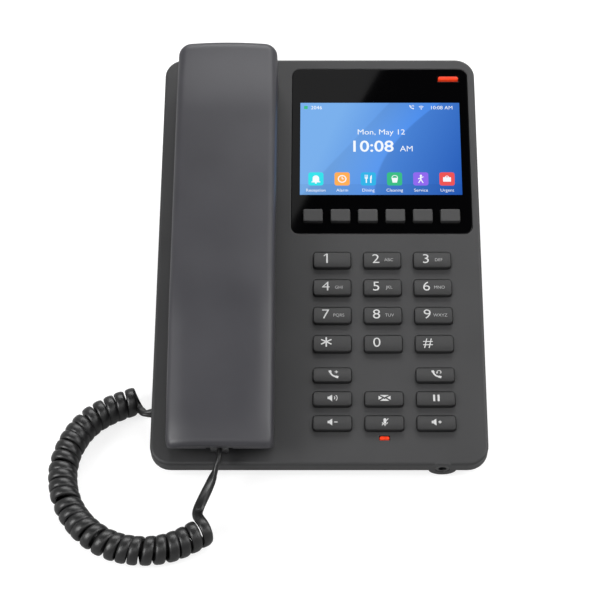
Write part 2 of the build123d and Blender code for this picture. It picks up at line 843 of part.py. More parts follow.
def handset_body(inset):
    """The handset's outline in side, plan and end view, each face moved in by inset."""
    half = handset_width / 2
    length = handset_rear_v - handset_front_v
    apex = crest_w + 0.4
    with BuildPart() as body:
        with BuildSketch(side.offset(handset_x - handset_width)):
            with BuildLine():
                points = [(v, w) for v, w, radius in handset_outline]
                radii = [radius for v, w, radius in handset_outline]
                FilletPolyline(*points, radius=radii, close=True)
            make_face()
            if inset > 0:
                offset(amount=-inset, kind=Kind.INTERSECTION)
        extrude(amount=2 * handset_width)
        with BuildSketch(deck.offset(-20)) as plan:
            with Locations((handset_x, handset_v)):
                Rectangle(handset_width, length)
            fillet(plan.vertices().group_by(Axis.Y)[0], handset_front_corner)
            fillet(plan.vertices().group_by(Axis.Y)[-1], handset_rear_corner)
            if inset > 0:
                offset(amount=-inset, kind=Kind.INTERSECTION)
        extrude(amount=80, mode=Mode.INTERSECT)
        with BuildSketch(cross.offset(20)) as section:
            with BuildLine():
                Polyline(
                    (handset_x + half, apex - handset_crown),
                    (handset_x + half, -20),
                    (handset_x - half, -20),
                    (handset_x - half, apex - handset_crown),
                )
                ThreePointArc(
                    (handset_x - half, apex - handset_crown),
                    (handset_x, apex),
                    (handset_x + half, apex - handset_crown),
                )
            make_face()
            fillet(section.vertices().group_by(Axis.Y)[-1], handset_edge)
            if inset > 0:
                offset(amount=-inset, kind=Kind.INTERSECTION)
        extrude(amount=-plate_length - 40, mode=Mode.INTERSECT)
    return body.part


cup_low = -cradle_depth + slide_gap
cup_inner = cup_low + handset_wall
with BuildPart() as handset_back_shell:
    add(handset_body(0))
    add(handset_body(handset_wall), mode=Mode.SUBTRACT)
    split(bisect_by=deck.offset(parting_w), keep=Keep.TOP)
    for v in handset_screw_v:
        low = handset_pad_w + seat_gap
        add(rod(handset_x, v, low, handset_boss_w, handset_boss_radius))
        bore = rod(handset_x, v, low, low + 8, screw_radius + screw_gap)
        add(bore, mode=Mode.SUBTRACT)
save(handset_back_shell, "handset_back_shell")

with BuildPart() as handset_face_shell:
    add(handset_body(0))
    for v, length in cups:
        add(block(handset_x, v, cup_low, handset_under_w + 1, cup_width, length, cup_corner))
    add(handset_body(handset_wall), mode=Mode.SUBTRACT)
    for v, length in cups:
        inside = (cup_width - 2 * handset_wall, length - 2 * handset_wall)
        add(
            block(handset_x, v, cup_inner, handset_under_w + handset_wall + 1, *inside,
                  cup_corner - handset_wall),
            mode=Mode.SUBTRACT,
        )
    split(bisect_by=deck.offset(parting_w), keep=Keep.BOTTOM)
    # Pads for the screws, and the mouth of the cord's socket
    for v in handset_screw_v:
        add(rod(handset_x, v, grip_under_w + 0.5, handset_pad_w, handset_boss_radius + 0.6))
        seat = grip_under_w + screw_head_height
        add(rod(handset_x, v, grip_under_w - 9, seat, screw_head_radius + 0.2), mode=Mode.SUBTRACT)
        add(rod(handset_x, v, seat, handset_pad_w, screw_radius + screw_gap), mode=Mode.SUBTRACT)
    add(
        block(handset_x, handset_jack_v, handset_jack_w - rj9_height / 2 - 0.1,
              handset_jack_w + rj9_height / 2 + 0.2, rj9_width + 0.4, 12),
        mode=Mode.SUBTRACT,
    )
    # Sound holes of the earpiece and the mouthpiece
    with BuildSketch(deck.offset(cup_low)):
        with Locations((handset_x, ear_cup_v)):
            Circle(sound_hole_radius)
            with PolarLocations(5.0, 6):
                Circle(sound_hole_radius)
        with Locations((handset_x, mouth_cup_v)):
            with GridLocations(0, 3.2, 1, 3):
                SlotOverall(8, 1.4)
    extrude(amount=handset_wall, mode=Mode.SUBTRACT)
save(handset_face_shell, "handset_face_shell")

with BuildPart() as handset_receiver:
    add(rod(handset_x, ear_cup_v, cup_inner, cup_inner + receiver_height, receiver_radius))
    back = rod(handset_x, ear_cup_v, cup_inner + 5, cup_inner + 7.5, receiver_radius - 4)
    add(back, mode=Mode.SUBTRACT)
save(handset_receiver, "handset_receiver")

with BuildPart() as handset_microphone:
    add(rod(handset_x, mouth_cup_v, cup_inner, cup_inner + capsule_height, capsule_radius))
save(handset_microphone, "handset_microphone")

with BuildPart() as handset_weight:
    low = grip_under_w + handset_wall + seat_gap
    add(block(handset_x, weight_v, low, low + weight_height, weight_width, weight_length, 2))
save(handset_weight, "handset_weight")

with BuildPart() as handset_jack:
    low = handset_jack_w - rj9_height / 2
    high = handset_jack_w + rj9_height / 2
    add(block(handset_x, handset_jack_v + rj9_depth / 2, low, high, rj9_width, rj9_depth))
    add(
        block(handset_x, handset_jack_v + rj9_bore_depth / 2,
              handset_jack_w - rj9_bore_height / 2, handset_jack_w + rj9_bore_height / 2,
              rj9_bore_width, rj9_bore_depth),
        mode=Mode.SUBTRACT,
    )
save(handset_jack, "handset_jack")

with BuildPart() as handset_screws:
    for v in handset_screw_v:
        seat = grip_under_w + screw_head_height
        add(rod(handset_x, v, seat - screw_head_height + 0.3, seat, screw_head_radius))
        add(rod(handset_x, v, seat, handset_pad_w + 6, screw_radius))
        drive = rod(handset_x, v, seat - screw_head_height, seat - screw_head_height + 1.2, 1.1)
        add(drive, mode=Mode.SUBTRACT)
save(handset_screws, "handset_screws")

# ---- Plugs of the curly cord ----
with BuildPart() as handset_plug:
    add(
        block(handset_x, handset_plug_v + plug_depth / 2, handset_jack_w - plug_height / 2,
              handset_jack_w + plug_height / 2, plug_width, plug_depth)
    )
    chamfer(handset_plug.edges().filter_by(Axis(deck.origin, deck.y_dir)), 0.5)
save(handset_plug, "handset_plug")

plug_end_x = -tub_half - plug_tail
with BuildPart() as base_plug:
    add(
        block(plug_end_x + plug_depth / 2, port_v, port_w - plug_height / 2,
              port_w + plug_height / 2, plug_depth, plug_width)
    )
    chamfer(base_plug.edges().filter_by(Axis.X), 0.5)
save(base_plug, "base_plug")

# ---- Curly cord: a lead from the handset, the coil that lies on the desk, a lead to the base ----
handset_exit = deck.from_local_coords((handset_x, handset_plug_v, handset_jack_w))
base_exit = deck.from_local_coords((plug_end_x, port_v, port_w))
handset_lead_route = [
    tuple(handset_exit),
    tuple(handset_exit - deck.y_dir * lead_straight),
    (-43.2, -107.0, 12.6),
    (-46.0, -109.6, 6.2),
    (-49.6, -115.4, 2.7),
    (-51.4, -122.4, 2.6),
    (-49.6, -128.8, 3.6),
    (-46.6, -131.6, 6.2),
]
coil_route = [
    (-46.6, -130.2, 6.4),
    (-57.0, -137.0, 6.4),
    (-71.0, -140.4, 6.4),
    (-86.0, -137.2, 6.4),
    (-98.8, -127.4, 6.4),
    (-107.0, -111.5, 6.4),
    (-108.6, -93.5, 6.4),
    (-103.2, -77.6, 6.4),
    (-92.6, -67.2, 6.4),
    (-82.4, -63.0, 6.4),
]
base_lead_route = [
    (-83.4, -63.6, 6.4),
    tuple(base_exit - deck.x_dir * lead_straight),
    tuple(base_exit),
]


def cord_tube(points, radius, name):
    """A round tube along straight runs joined by arcs as large as the runs allow."""
    spots = [Vector(*point) for point in points]
    radii = []
    for before, here, after in zip(spots, spots[1:], spots[2:]):
        turn = (here - before).get_angle(after - here)
        shorter = min((here - before).length, (after - here).length)
        radii.append(0.45 * shorter / tan(radians(turn) / 2))
    print(name, "arc radii", [round(value, 1) for value in radii])
    with BuildPart() as tube:
        with BuildLine() as route:
            FilletPolyline(*points, radius=radii)
        with BuildSketch(Plane(route.line ^ 0)):
            Circle(radius)
        sweep()
    length = route.wire().length
    print(name, "length", round(length, 1), "volume ratio",
          round(tube.part.volume / (pi * radius**2 * length), 4))
    return tube


save(cord_tube(handset_lead_route, cord_width / 2, "handset lead"), "cord_handset_lead")
save(cord_tube(coil_route, coil_width / 2, "coil"), "cord_coil")
save(cord_tube(base_lead_route, cord_width / 2, "base lead"), "cord_base_lead")
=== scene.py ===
import json
from math import cos, hypot, pi, radians, sin

import bmesh
import bpy
from mathutils import Matrix, Vector


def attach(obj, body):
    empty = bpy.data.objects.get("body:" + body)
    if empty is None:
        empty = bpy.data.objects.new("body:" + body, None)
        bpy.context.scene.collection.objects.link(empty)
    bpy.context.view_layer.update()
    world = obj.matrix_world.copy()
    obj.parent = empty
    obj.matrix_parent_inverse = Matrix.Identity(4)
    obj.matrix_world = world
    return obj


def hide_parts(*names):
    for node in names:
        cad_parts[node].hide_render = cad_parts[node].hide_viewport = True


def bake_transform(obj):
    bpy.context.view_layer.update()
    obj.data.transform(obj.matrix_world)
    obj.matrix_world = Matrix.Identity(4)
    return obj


# Desk telephone with a display, a bar handset and a curly cord.
# Places on the sloping face are in millimetres as (x, v, w): v runs up the slope from the
# face's front edge and w stands out from the face. face_frame turns them into row metres.

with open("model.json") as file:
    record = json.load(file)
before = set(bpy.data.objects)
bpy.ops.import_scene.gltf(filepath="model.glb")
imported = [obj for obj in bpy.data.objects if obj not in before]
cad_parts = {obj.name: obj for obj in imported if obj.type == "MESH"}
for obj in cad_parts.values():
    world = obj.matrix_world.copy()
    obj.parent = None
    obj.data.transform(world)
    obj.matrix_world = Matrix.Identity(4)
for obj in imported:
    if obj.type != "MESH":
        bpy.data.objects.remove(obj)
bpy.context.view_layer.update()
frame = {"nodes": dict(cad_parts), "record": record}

MM = 0.001
face_slope = radians(14.0)
face_front = Vector((0, -99.323, 13.0))
face_frame = (
    Matrix.Translation(face_front * MM)
    @ Matrix.Rotation(face_slope, 4, "X")
    @ Matrix.Scale(MM, 4)
)


# ---------------------------------------------------------------- shader helpers

def fill(tree, node, **inputs):
    """Sets a node's inputs by name, or by number as in i0. Each is a value or an output."""
    for key, value in inputs.items():
        by_number = key[0] == "i" and key[1:].isdigit()
        socket = node.inputs[int(key[1:]) if by_number else key.replace("_", " ")]
        if isinstance(value, bpy.types.NodeSocket):
            tree.links.new(value, socket)
        else:
            socket.default_value = value
    return node


def joined(tree, kind, settings=None, **inputs):
    """A new node with its settings and inputs."""
    node = tree.nodes.new(kind)
    for key, value in (settings or {}).items():
        setattr(node, key, value)
    return fill(tree, node, **inputs)


def worked(tree, operation, *values):
    """The result of a Math node."""
    inputs = {f"i{k}": value for k, value in enumerate(values)}
    return joined(tree, "ShaderNodeMath", {"operation": operation}, **inputs).outputs[0]


def ranged(tree, value, low, high, start=0.0, end=1.0, smooth=False):
    """A value that runs from start to end, stretched to run from low to high."""
    settings = {"interpolation_type": "SMOOTHSTEP"} if smooth else None
    return joined(tree, "ShaderNodeMapRange", settings, Value=value, From_Min=start, From_Max=end,
                  To_Min=low, To_Max=high).outputs["Result"]


def noise(tree, scale, detail, squeeze=None, **inputs):
    """Noise on the piece's own coordinates, which may be squeezed along its axes first."""
    place = joined(tree, "ShaderNodeTexCoord").outputs["Object"]
    if squeeze:
        place = joined(tree, "ShaderNodeMapping", Vector=place, Scale=squeeze).outputs[0]
    return joined(tree, "ShaderNodeTexNoise", Vector=place, Scale=scale, Detail=detail,
                  **inputs).outputs["Fac"]


def shaded(tree, tone, amount):
    """A tone made lighter or darker by an amount."""
    return joined(tree, "ShaderNodeVectorMath", {"operation": "SCALE"}, i0=tone,
                  Scale=amount).outputs[0]


def mixed(tree, mask, under, over):
    """One colour over another by a mask."""
    return joined(tree, "ShaderNodeMix", {"data_type": "RGBA"}, i0=mask, i6=under,
                  i7=over).outputs[2]


def grown(tree, group, **inputs):
    """A shared effect placed in a material with that material's values."""
    return joined(tree, "ShaderNodeGroup", {"node_tree": group}, **inputs)


def relief(tree, strength, depth, height, **inputs):
    """The normal of a surface with raised grain."""
    return joined(tree, "ShaderNodeBump", Strength=strength, Distance=depth, Height=height,
                  **inputs).outputs[0]


# ---------------------------------------------------------------- shared effects

def new_group(name, inputs, outputs):
    group = bpy.data.node_groups.new(name, "ShaderNodeTree")
    for label, kind, value in inputs:
        socket = group.interface.new_socket(label, in_out="INPUT", socket_type=kind)
        socket.default_value = value
    for label, kind in outputs:
        group.interface.new_socket(label, in_out="OUTPUT", socket_type=kind)
    return group, group.nodes.new("NodeGroupInput"), group.nodes.new("NodeGroupOutput")


def build_moulded_grain():
    """Spark-eroded grain of a moulded skin: fine height, faint cloudy tone and roughness."""
    group, start, end = new_group(
        "moulded grain",
        [
            ("Grain Scale", "NodeSocketFloat", 2200.0),
            ("Cloud Scale", "NodeSocketFloat", 30.0),
            ("Tone", "NodeSocketColor", (0.06, 0.06, 0.06, 1)),
            ("Tone Change", "NodeSocketFloat", 0.12),
            ("Roughness", "NodeSocketFloat", 0.5),
        ],
        [
            ("Color", "NodeSocketColor"),
            ("Roughness", "NodeSocketFloat"),
            ("Height", "NodeSocketFloat"),
        ],
    )
    grain_scale = start.outputs["Grain Scale"]
    fine = noise(group, grain_scale, 2.0, Roughness=0.6)
    place = joined(group, "ShaderNodeTexCoord").outputs["Object"]
    pits = joined(group, "ShaderNodeTexVoronoi", Vector=place, Scale=grain_scale)
    cloud = noise(group, start.outputs["Cloud Scale"], 4.0, Roughness=0.55)
    change = worked(group, "ADD", ranged(group, cloud, -1.0, 1.0, start=0.3, end=0.7),
                    ranged(group, fine, -0.5, 0.5, start=0.3, end=0.7))
    amount = worked(group, "MULTIPLY_ADD", change, start.outputs["Tone Change"], 1.0)
    fill(group, end,
         Color=shaded(group, start.outputs["Tone"], amount),
         Roughness=worked(group, "MULTIPLY_ADD", change, 0.03, start.outputs["Roughness"]),
         Height=worked(group, "MULTIPLY", fine, pits.outputs["Distance"]))
    return group


def build_edge_wear_and_highlight():
    """Polished edges and a painted highlight on them: a mask where the surface turns within a
    short reach.
    """
    group, start, end = new_group(
        "edge wear and highlight",
        [("Reach", "NodeSocketFloat", 0.0006), ("Break Scale", "NodeSocketFloat", 400.0)],
        [("Mask", "NodeSocketFloat"), ("Normal", "NodeSocketVector")],
    )
    rounded = joined(group, "ShaderNodeBevel", {"samples": 4},
                     Radius=start.outputs["Reach"]).outputs["Normal"]
    flat = joined(group, "ShaderNodeNewGeometry").outputs["Normal"]
    along = joined(group, "ShaderNodeVectorMath", {"operation": "DOT_PRODUCT"}, i0=rounded,
                   i1=flat).outputs["Value"]
    turned = ranged(group, along, 0.0, 1.0, start=0.998, end=0.86)
    worn = ranged(group, noise(group, start.outputs["Break Scale"], 3.0), 0.35, 1.0,
                  start=0.35, end=0.65)
    fill(group, end, Mask=worked(group, "MULTIPLY", turned, worn), Normal=rounded)
    return group


moulded_grain = build_moulded_grain()
edge_wear_and_highlight = build_edge_wear_and_highlight()


# ---------------------------------------------------------------- finishes

fine_reach = 0.0003


def new_finish(name):
    finish = bpy.data.materials.new(name)
    finish.use_nodes = True
    return finish, finish.node_tree, finish.node_tree.nodes["Principled BSDF"]


def moulded_finish(name, tone, roughness, grain=2200.0, bump=0.12, reach=0.0006, polish_and_highlight=0.35,
                   coat=0.0, specular=0.5):
    """Moulded plastic or rubber: grain bump, cloudy tone, edges smoother from polish and lighter
    from a painted highlight.
    """
    finish, tree, shader = new_finish(name)
    skin = grown(tree, moulded_grain, Grain_Scale=grain, Tone=(*tone, 1), Tone_Change=0.10,
                 Roughness=roughness)
    edge = grown(tree, edge_wear_and_highlight, Reach=reach)
    share = worked(tree, "MULTIPLY", edge.outputs["Mask"], polish_and_highlight)
    # edge colour made lighter: a painted highlight, broken up like wear; the lower roughness there
    # is real polish
    worn_and_highlit_edge = (*(part * 1.5 for part in tone), 1)
    fill(tree, shader,
         Base_Color=mixed(tree, share, skin.outputs["Color"], worn_and_highlit_edge),
         Roughness=worked(tree, "MULTIPLY_ADD", share, -0.25, skin.outputs["Roughness"]),
         Normal=relief(tree, bump, 0.00003, skin.outputs["Height"], Normal=edge.outputs["Normal"]),
         Coat_Weight=coat, Coat_Roughness=0.2, Specular_IOR_Level=specular)
    return finish


def metal_finish(name, tone, roughness):
    """Plated or stamped metal with fine drawn lines."""
    finish, tree, shader = new_finish(name)
    lines = noise(tree, 900.0, 4.0, squeeze=(1.0, 14.0, 1.0))
    edge = grown(tree, edge_wear_and_highlight, Reach=fine_reach)
    shade = ranged(tree, lines, 0.85, 1.1, start=0.3, end=0.7)
    fill(tree, shader,
         Base_Color=shaded(tree, tone, shade),
         Roughness=ranged(tree, lines, roughness - 0.08, roughness + 0.12),
         Normal=relief(tree, 0.15, 0.00002, lines, Normal=edge.outputs["Normal"]),
         Metallic=1.0)
    return finish


def gloss_finish(name, tone, roughness, smear):
    """Polished plastic: nearly even, with faint wiped smears in its roughness."""
    finish, tree, shader = new_finish(name)
    wiped = noise(tree, 55.0, 5.0, squeeze=(1.0, 0.35, 1.0))
    edge = grown(tree, edge_wear_and_highlight, Reach=fine_reach)
    # edges lighter in colour: a painted highlight
    worn_and_highlit_edge = (*(part * 1.6 + 0.004 for part in tone), 1)
    fill(tree, shader,
         Base_Color=mixed(tree, edge.outputs["Mask"], (*tone, 1), worn_and_highlit_edge),
         Roughness=ranged(tree, wiped, roughness, roughness + smear, start=0.35, end=0.75),
         Normal=edge.outputs["Normal"])
    return finish


def lamp_finish(name, tone, glow):
    """Red light guide: slightly milky plastic, lit from inside."""
    finish, tree, shader = new_finish(name)
    milky = ranged(tree, noise(tree, 700.0, 2.0), 0.85, 1.1, start=0.3, end=0.7)
    colour = shaded(tree, tone, milky)
    fill(tree, shader, Base_Color=colour, Emission_Color=colour, Emission_Strength=glow,
         Roughness=0.45, Specular_IOR_Level=0.2)
    return finish


def picture_finish(name):
    """Lit display: a blue picture with soft diagonal waves, lighter at the left, and a painted
    reflection in a slanted upper left part.
    """
    finish, tree, shader = new_finish(name)
    place = joined(tree, "ShaderNodeUVMap", {"uv_map": "picture"}).outputs[0]
    parts = joined(tree, "ShaderNodeSeparateXYZ", Vector=place)
    across = parts.outputs["X"]
    up = parts.outputs["Y"]
    blues = joined(tree, "ShaderNodeValToRGB", Fac=worked(tree, "MULTIPLY_ADD", up, -0.28, across))
    stops = blues.color_ramp.elements
    stops[0].color = (0.20, 0.47, 0.93, 1)
    stops[1].color = (0.012, 0.125, 0.62, 1)
    stops.new(0.5).color = (0.075, 0.28, 0.86, 1)
    # painted reflection: past a slanted edge the upper left part glows brighter, as if the window
    # mirrored a light
    slanted = worked(tree, "MULTIPLY_ADD", up, -0.55, across)
    bowed = worked(tree, "MULTIPLY_ADD", worked(tree, "MULTIPLY", up, up), -0.42, across)
    painted_reflection_corner = ranged(tree, slanted, 1.13, 1.0, start=0.0, end=0.02, smooth=True)
    fold = ranged(tree, bowed, 1.0, 0.76, start=0.45, end=0.47, smooth=True)
    rise = ranged(tree, bowed, 0.98, 1.22, start=0.15, end=0.45)
    # the waves' brightness, times the painted reflection
    waves = worked(tree, "MULTIPLY", painted_reflection_corner, worked(tree, "MULTIPLY", rise, fold))
    in_label_strip = worked(tree, "LESS_THAN", up, 0.115)
    strip_shade = worked(tree, "MULTIPLY_ADD", in_label_strip, -0.08, 1.0)
    brightness = worked(tree, "MULTIPLY", waves, strip_shade)
    fill(tree, shader, Emission_Color=shaded(tree, blues.outputs["Color"], brightness),
         Emission_Strength=0.80, Base_Color=(0.005, 0.005, 0.008, 1), Roughness=0.1)
    return finish


def lit_finish(name, tone):
    """A lit part of the display's picture."""
    finish, tree, shader = new_finish(name)
    fill(tree, shader, Base_Color=(0.01, 0.01, 0.01, 1), Emission_Color=(*tone, 1),
         Emission_Strength=1.0, Roughness=0.1)
    return finish


def print_finish(name, shade_low, shade_high):
    """Pale ink, slightly uneven where it is thin."""
    finish, tree, shader = new_finish(name)
    shade = ranged(tree, noise(tree, 2500.0, 2.0), shade_low, shade_high, start=0.3, end=0.7)
    grey = joined(tree, "ShaderNodeCombineColor", Red=shade, Green=shade, Blue=shade).outputs[0]
    fill(tree, shader, Base_Color=grey, Roughness=0.55)
    return finish


def board_finish(name):
    """Green solder mask with the faint lines of copper tracks under it."""
    finish, tree, shader = new_finish(name)
    place = joined(tree, "ShaderNodeTexCoord").outputs["Object"]
    tracks = joined(tree, "ShaderNodeTexBrick", Vector=place, Scale=160.0,
                    Color1=(0.012, 0.085, 0.03, 1), Color2=(0.015, 0.10, 0.035, 1),
                    Mortar=(0.05, 0.20, 0.07, 1), Mortar_Size=0.03)
    fill(tree, shader, Base_Color=tracks.outputs["Color"],
         Normal=relief(tree, 0.2, 0.00003, tracks.outputs["Fac"]), Roughness=0.35)
    return finish


def plug_finish(name):
    """Smoked plug body, so dark that the cord's end hardly shows in it."""
    finish, tree, shader = new_finish(name)
    edge = grown(tree, edge_wear_and_highlight, Reach=fine_reach)
    # edges lighter in colour: a painted highlight
    fill(tree, shader,
         Base_Color=mixed(tree, edge.outputs["Mask"], (0.008, 0.008, 0.009, 1),
                          (0.02, 0.02, 0.022, 1)),
         Roughness=ranged(tree, noise(tree, 300.0, 3.0), 0.2, 0.34),
         Normal=edge.outputs["Normal"], Coat_Weight=0.1)
    return finish


slot_finishes = {
    "cover_plastic": moulded_finish("cover plastic", (0.0245, 0.0245, 0.0255), 0.54),
    "housing_plastic": moulded_finish("housing plastic", (0.022, 0.022, 0.023), 0.6,
                                      grain=1500.0, bump=0.2),
    "handset_plastic": moulded_finish("handset plastic", (0.032, 0.0315, 0.037), 0.44,
                                      grain=2600.0, bump=0.08, polish_and_highlight=0.15),
    "key_plastic": moulded_finish("key plastic", (0.017, 0.017, 0.0175), 0.56, grain=2800.0,
                                  bump=0.06, reach=fine_reach, polish_and_highlight=0.8, specular=0.32),
    "foot_rubber": moulded_finish("foot rubber", (0.018, 0.018, 0.018), 0.75, grain=900.0,
                                  bump=0.3),
    "switch_black": moulded_finish("switch black", (0.018, 0.018, 0.019), 0.5,
                                   reach=fine_reach),
    "jack_plastic": moulded_finish("jack plastic", (0.016, 0.016, 0.017), 0.3,
                                   reach=fine_reach, bump=0.05),
    "cord_vinyl": moulded_finish("cord vinyl", (0.0065, 0.0065, 0.0068), 0.40, grain=1200.0,
                                 bump=0.10, reach=0.0004, polish_and_highlight=0.25, coat=0.06),
    "screw_steel": metal_finish("screw steel", (0.42, 0.42, 0.43), 0.32),
    "frame_metal": metal_finish("frame metal", (0.55, 0.55, 0.55), 0.4),
    "weight_steel": metal_finish("weight steel", (0.4, 0.4, 0.4), 0.45),
    "window_gloss": gloss_finish("window gloss", (0.0008, 0.0008, 0.001), 0.03, smear=0.02),
    "display_glass": gloss_finish("display glass", (0.02, 0.03, 0.05), 0.05, smear=0.04),
    "lamp_red": lamp_finish("lamp red", (0.54, 0.030, 0.006), glow=0.60),
    "board_laminate": board_finish("board laminate"),
    "plug_clear": plug_finish("plug clear"),
}
soft_key_plastic = moulded_finish("soft key plastic", (0.022, 0.022, 0.0225), 0.55,
                                  grain=2800.0, bump=0.06, reach=fine_reach, polish_and_highlight=0.2)
white_ink = print_finish("white ink", 0.40, 0.50)
faint_ink = print_finish("faint ink", 0.24, 0.31)
display_picture = picture_finish("display picture")
lit_tones = {
    "white": (0.92, 0.96, 1.0),
    "cyan": (0.02, 0.75, 0.82),
    "orange": (1.0, 0.42, 0.08),
    "blue": (0.02, 0.45, 0.80),
    "green": (0.03, 0.50, 0.22),
    "purple": (0.27, 0.13, 0.85),
    "red": (0.85, 0.08, 0.08),
}
lit = {colour: lit_finish("lit " + colour, tone) for colour, tone in lit_tones.items()}

for part in frame["record"]["subparts"]:
    node = frame["nodes"][part["node"]]
    finish = slot_finishes[part["material_slot"]]
    if not node.material_slots:
        node.data.materials.append(finish)
    for place in node.material_slots:
        place.material = finish


# ---------------------------------------------------------------- making pieces

def finish_piece(name, shape, body, finishes, placed=face_frame, sharp=32):
    """Turns a bmesh into a piece that rides on a body."""
    bmesh.ops.transform(shape, matrix=placed, verts=shape.verts)
    mesh = bpy.data.meshes.new(name)
    shape.to_mesh(mesh)
    shape.free()
    mesh.shade_smooth()
    mesh.set_sharp_from_angle(angle=radians(sharp))
    for finish in finishes:
        mesh.materials.append(finish)
    piece = bpy.data.objects.new(name, mesh)
    bpy.context.scene.collection.objects.link(piece)
    if body:
        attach(piece, body)
    return piece


def eased(value, low, high):
    """0 up to low, 1 from high on, and a soft step between them."""
    share = max(0.0, min(1.0, (value - low) / (high - low)))
    return share * share * (3 - 2 * share)


def fillet_steps(radius, count):
    """How far in from an edge the lines of a rounded edge lie."""
    return [radius * (1 - cos(pi / 2 * k / count)) for k in range(count + 1)]


def fillet_drop(distance, radius):
    """How far a rounded edge lies below the top, at a distance in from the edge."""
    if distance >= radius:
        return 0.0
    return radius - (radius * radius - (radius - distance) ** 2) ** 0.5


def lines_across(size, low_steps, high_steps, count):
    """Grid lines across a size: close together at both edges, even between them."""
    low = [-size / 2 + step for step in low_steps]
    high = [size / 2 - step for step in reversed(high_steps)]
    gap = (high[0] - low[-1]) / (count + 1)
    return low + [low[-1] + gap * (k + 1) for k in range(count)] + high


def rounded_sheet(columns, rows, front_corner, rear_corner):
    """A grid with lines at the given places, its corners drawn in to arcs."""
    sheet = bmesh.new()
    across = len(columns) - 1
    along = len(rows) - 1
    bmesh.ops.create_grid(sheet, x_segments=across, y_segments=along, size=1.0)
    for vert in sheet.verts:
        x = columns[round((vert.co.x + 1) / 2 * across)]
        v = rows[round((vert.co.y + 1) / 2 * along)]
        corner = front_corner if v < 0 else rear_corner
        reach_x = columns[-1] - corner
        reach_v = abs(rows[-1] if v > 0 else rows[0]) - corner
        over_x = (abs(x) - reach_x) / corner
        over_v = (abs(v) - reach_v) / corner
        if over_x > 0 and over_v > 0:
            arc_x = reach_x + corner * over_x * (1 - over_v * over_v / 2) ** 0.5
            arc_v = reach_v + corner * over_v * (1 - over_x * over_x / 2) ** 0.5
            x = arc_x if x > 0 else -arc_x
            v = arc_v if v > 0 else -arc_v
        vert.co.x = x
        vert.co.y = v
    return sheet


def edge_distance(x, v, columns, rows, front_corner, rear_corner):
    """How far a point lies in from the outline of a rounded sheet."""
    corner = front_corner if v < 0 else rear_corner
    far = -rows[0] if v < 0 else rows[-1]
    over_x = abs(x) - (columns[-1] - corner)
    over_v = abs(v) - (far - corner)
    if over_x > 0 and over_v > 0:
        return max(0.0, corner - hypot(over_x, over_v))
    return max(0.0, min(columns[-1] - abs(x), far - abs(v)))


def rounded_top(columns, rows, front_corner, rear_corner, height_at, edge_at):
    """A rounded sheet raised to a height at each place, with a fillet along its outline."""
    top = rounded_sheet(columns, rows, front_corner, rear_corner)
    for vert in top.verts:
        x, v = vert.co.x, vert.co.y
        inside = edge_distance(x, v, columns, rows, front_corner, rear_corner)
        vert.co.z = height_at(x, v) - fillet_drop(inside, edge_at(v))
    return top


def skirt(sheet, levels):
    """Pulls the sheet's outline down to each level in turn, each with its own growth in plan."""
    corner_push = 1.2
    edges = [edge for edge in sheet.edges if edge.is_boundary]
    for level, growth in levels:
        made = bmesh.ops.extrude_edge_only(sheet, edges=edges)["geom"]
        verts = [item for item in made if isinstance(item, bmesh.types.BMVert)]
        edges = [item for item in made if isinstance(item, bmesh.types.BMEdge)]
        for vert in verts:
            vert.co.z = level
            if growth:
                far_x = max(abs(item.co.x) for item in verts)
                far_v = max(abs(item.co.y) for item in verts)
                vert.co.x += growth * max(-1, min(1, vert.co.x / far_x * corner_push))
                vert.co.y += growth * max(-1, min(1, vert.co.y / far_v * corner_push))
    return edges


def skirt_and_close(sheet, levels):
    bmesh.ops.holes_fill(sheet, edges=skirt(sheet, levels), sides=0)
    bmesh.ops.recalc_face_normals(sheet, faces=sheet.faces)


# ---------------------------------------------------------------- flat marks

def add_bar(marks, x, y, width, height, turn=0.0):
    made = bmesh.ops.create_grid(marks, x_segments=1, y_segments=1, size=0.5)["verts"]
    bmesh.ops.scale(marks, verts=made, vec=(width, height, 1))
    bmesh.ops.rotate(marks, verts=made, cent=(0, 0, 0),
                     matrix=Matrix.Rotation(radians(turn), 3, "Z"))
    bmesh.ops.translate(marks, verts=made, vec=(x, y, 0))


def add_disc(marks, x, y, radius):
    made = bmesh.ops.create_circle(marks, cap_ends=True, radius=radius, segments=20)["verts"]
    bmesh.ops.translate(marks, verts=made, vec=(x, y, 0))


def add_arc(marks, x, y, radius, thick, start, end, steps=14):
    """A band round a centre, from one angle to another in degrees."""
    centre = Vector((x, y, 0))
    way = Matrix.Rotation(radians(start), 3, "Z") @ Vector((1, 0, 0))
    inner = marks.verts.new(centre + way * (radius - thick / 2))
    outer = marks.verts.new(centre + way * (radius + thick / 2))
    edge = marks.edges.new((inner, outer))
    bmesh.ops.spin(marks, geom=[inner, outer, edge], cent=centre, axis=(0, 0, 1),
                   angle=radians(end - start), steps=steps, use_duplicate=False)


def add_wedge(marks, *corners):
    marks.faces.new([marks.verts.new((x, y, 0)) for x, y in corners])


def draw_handset(marks, plus=False, swirl=False):
    add_arc(marks, 0.42, 0.42, 0.66, 0.17, 185, 265)
    add_bar(marks, -0.27, 0.42, 0.26, 0.28, 18)
    add_bar(marks, 0.42, -0.27, 0.28, 0.26, -18)
    if plus:
        add_bar(marks, 0.36, 0.36, 0.34, 0.09)
        add_bar(marks, 0.36, 0.36, 0.09, 0.34)
    if swirl:
        add_arc(marks, 0.34, 0.34, 0.20, 0.08, -60, 200)
        add_wedge(marks, (0.02, 0.30), (0.26, 0.30), (0.14, 0.12))


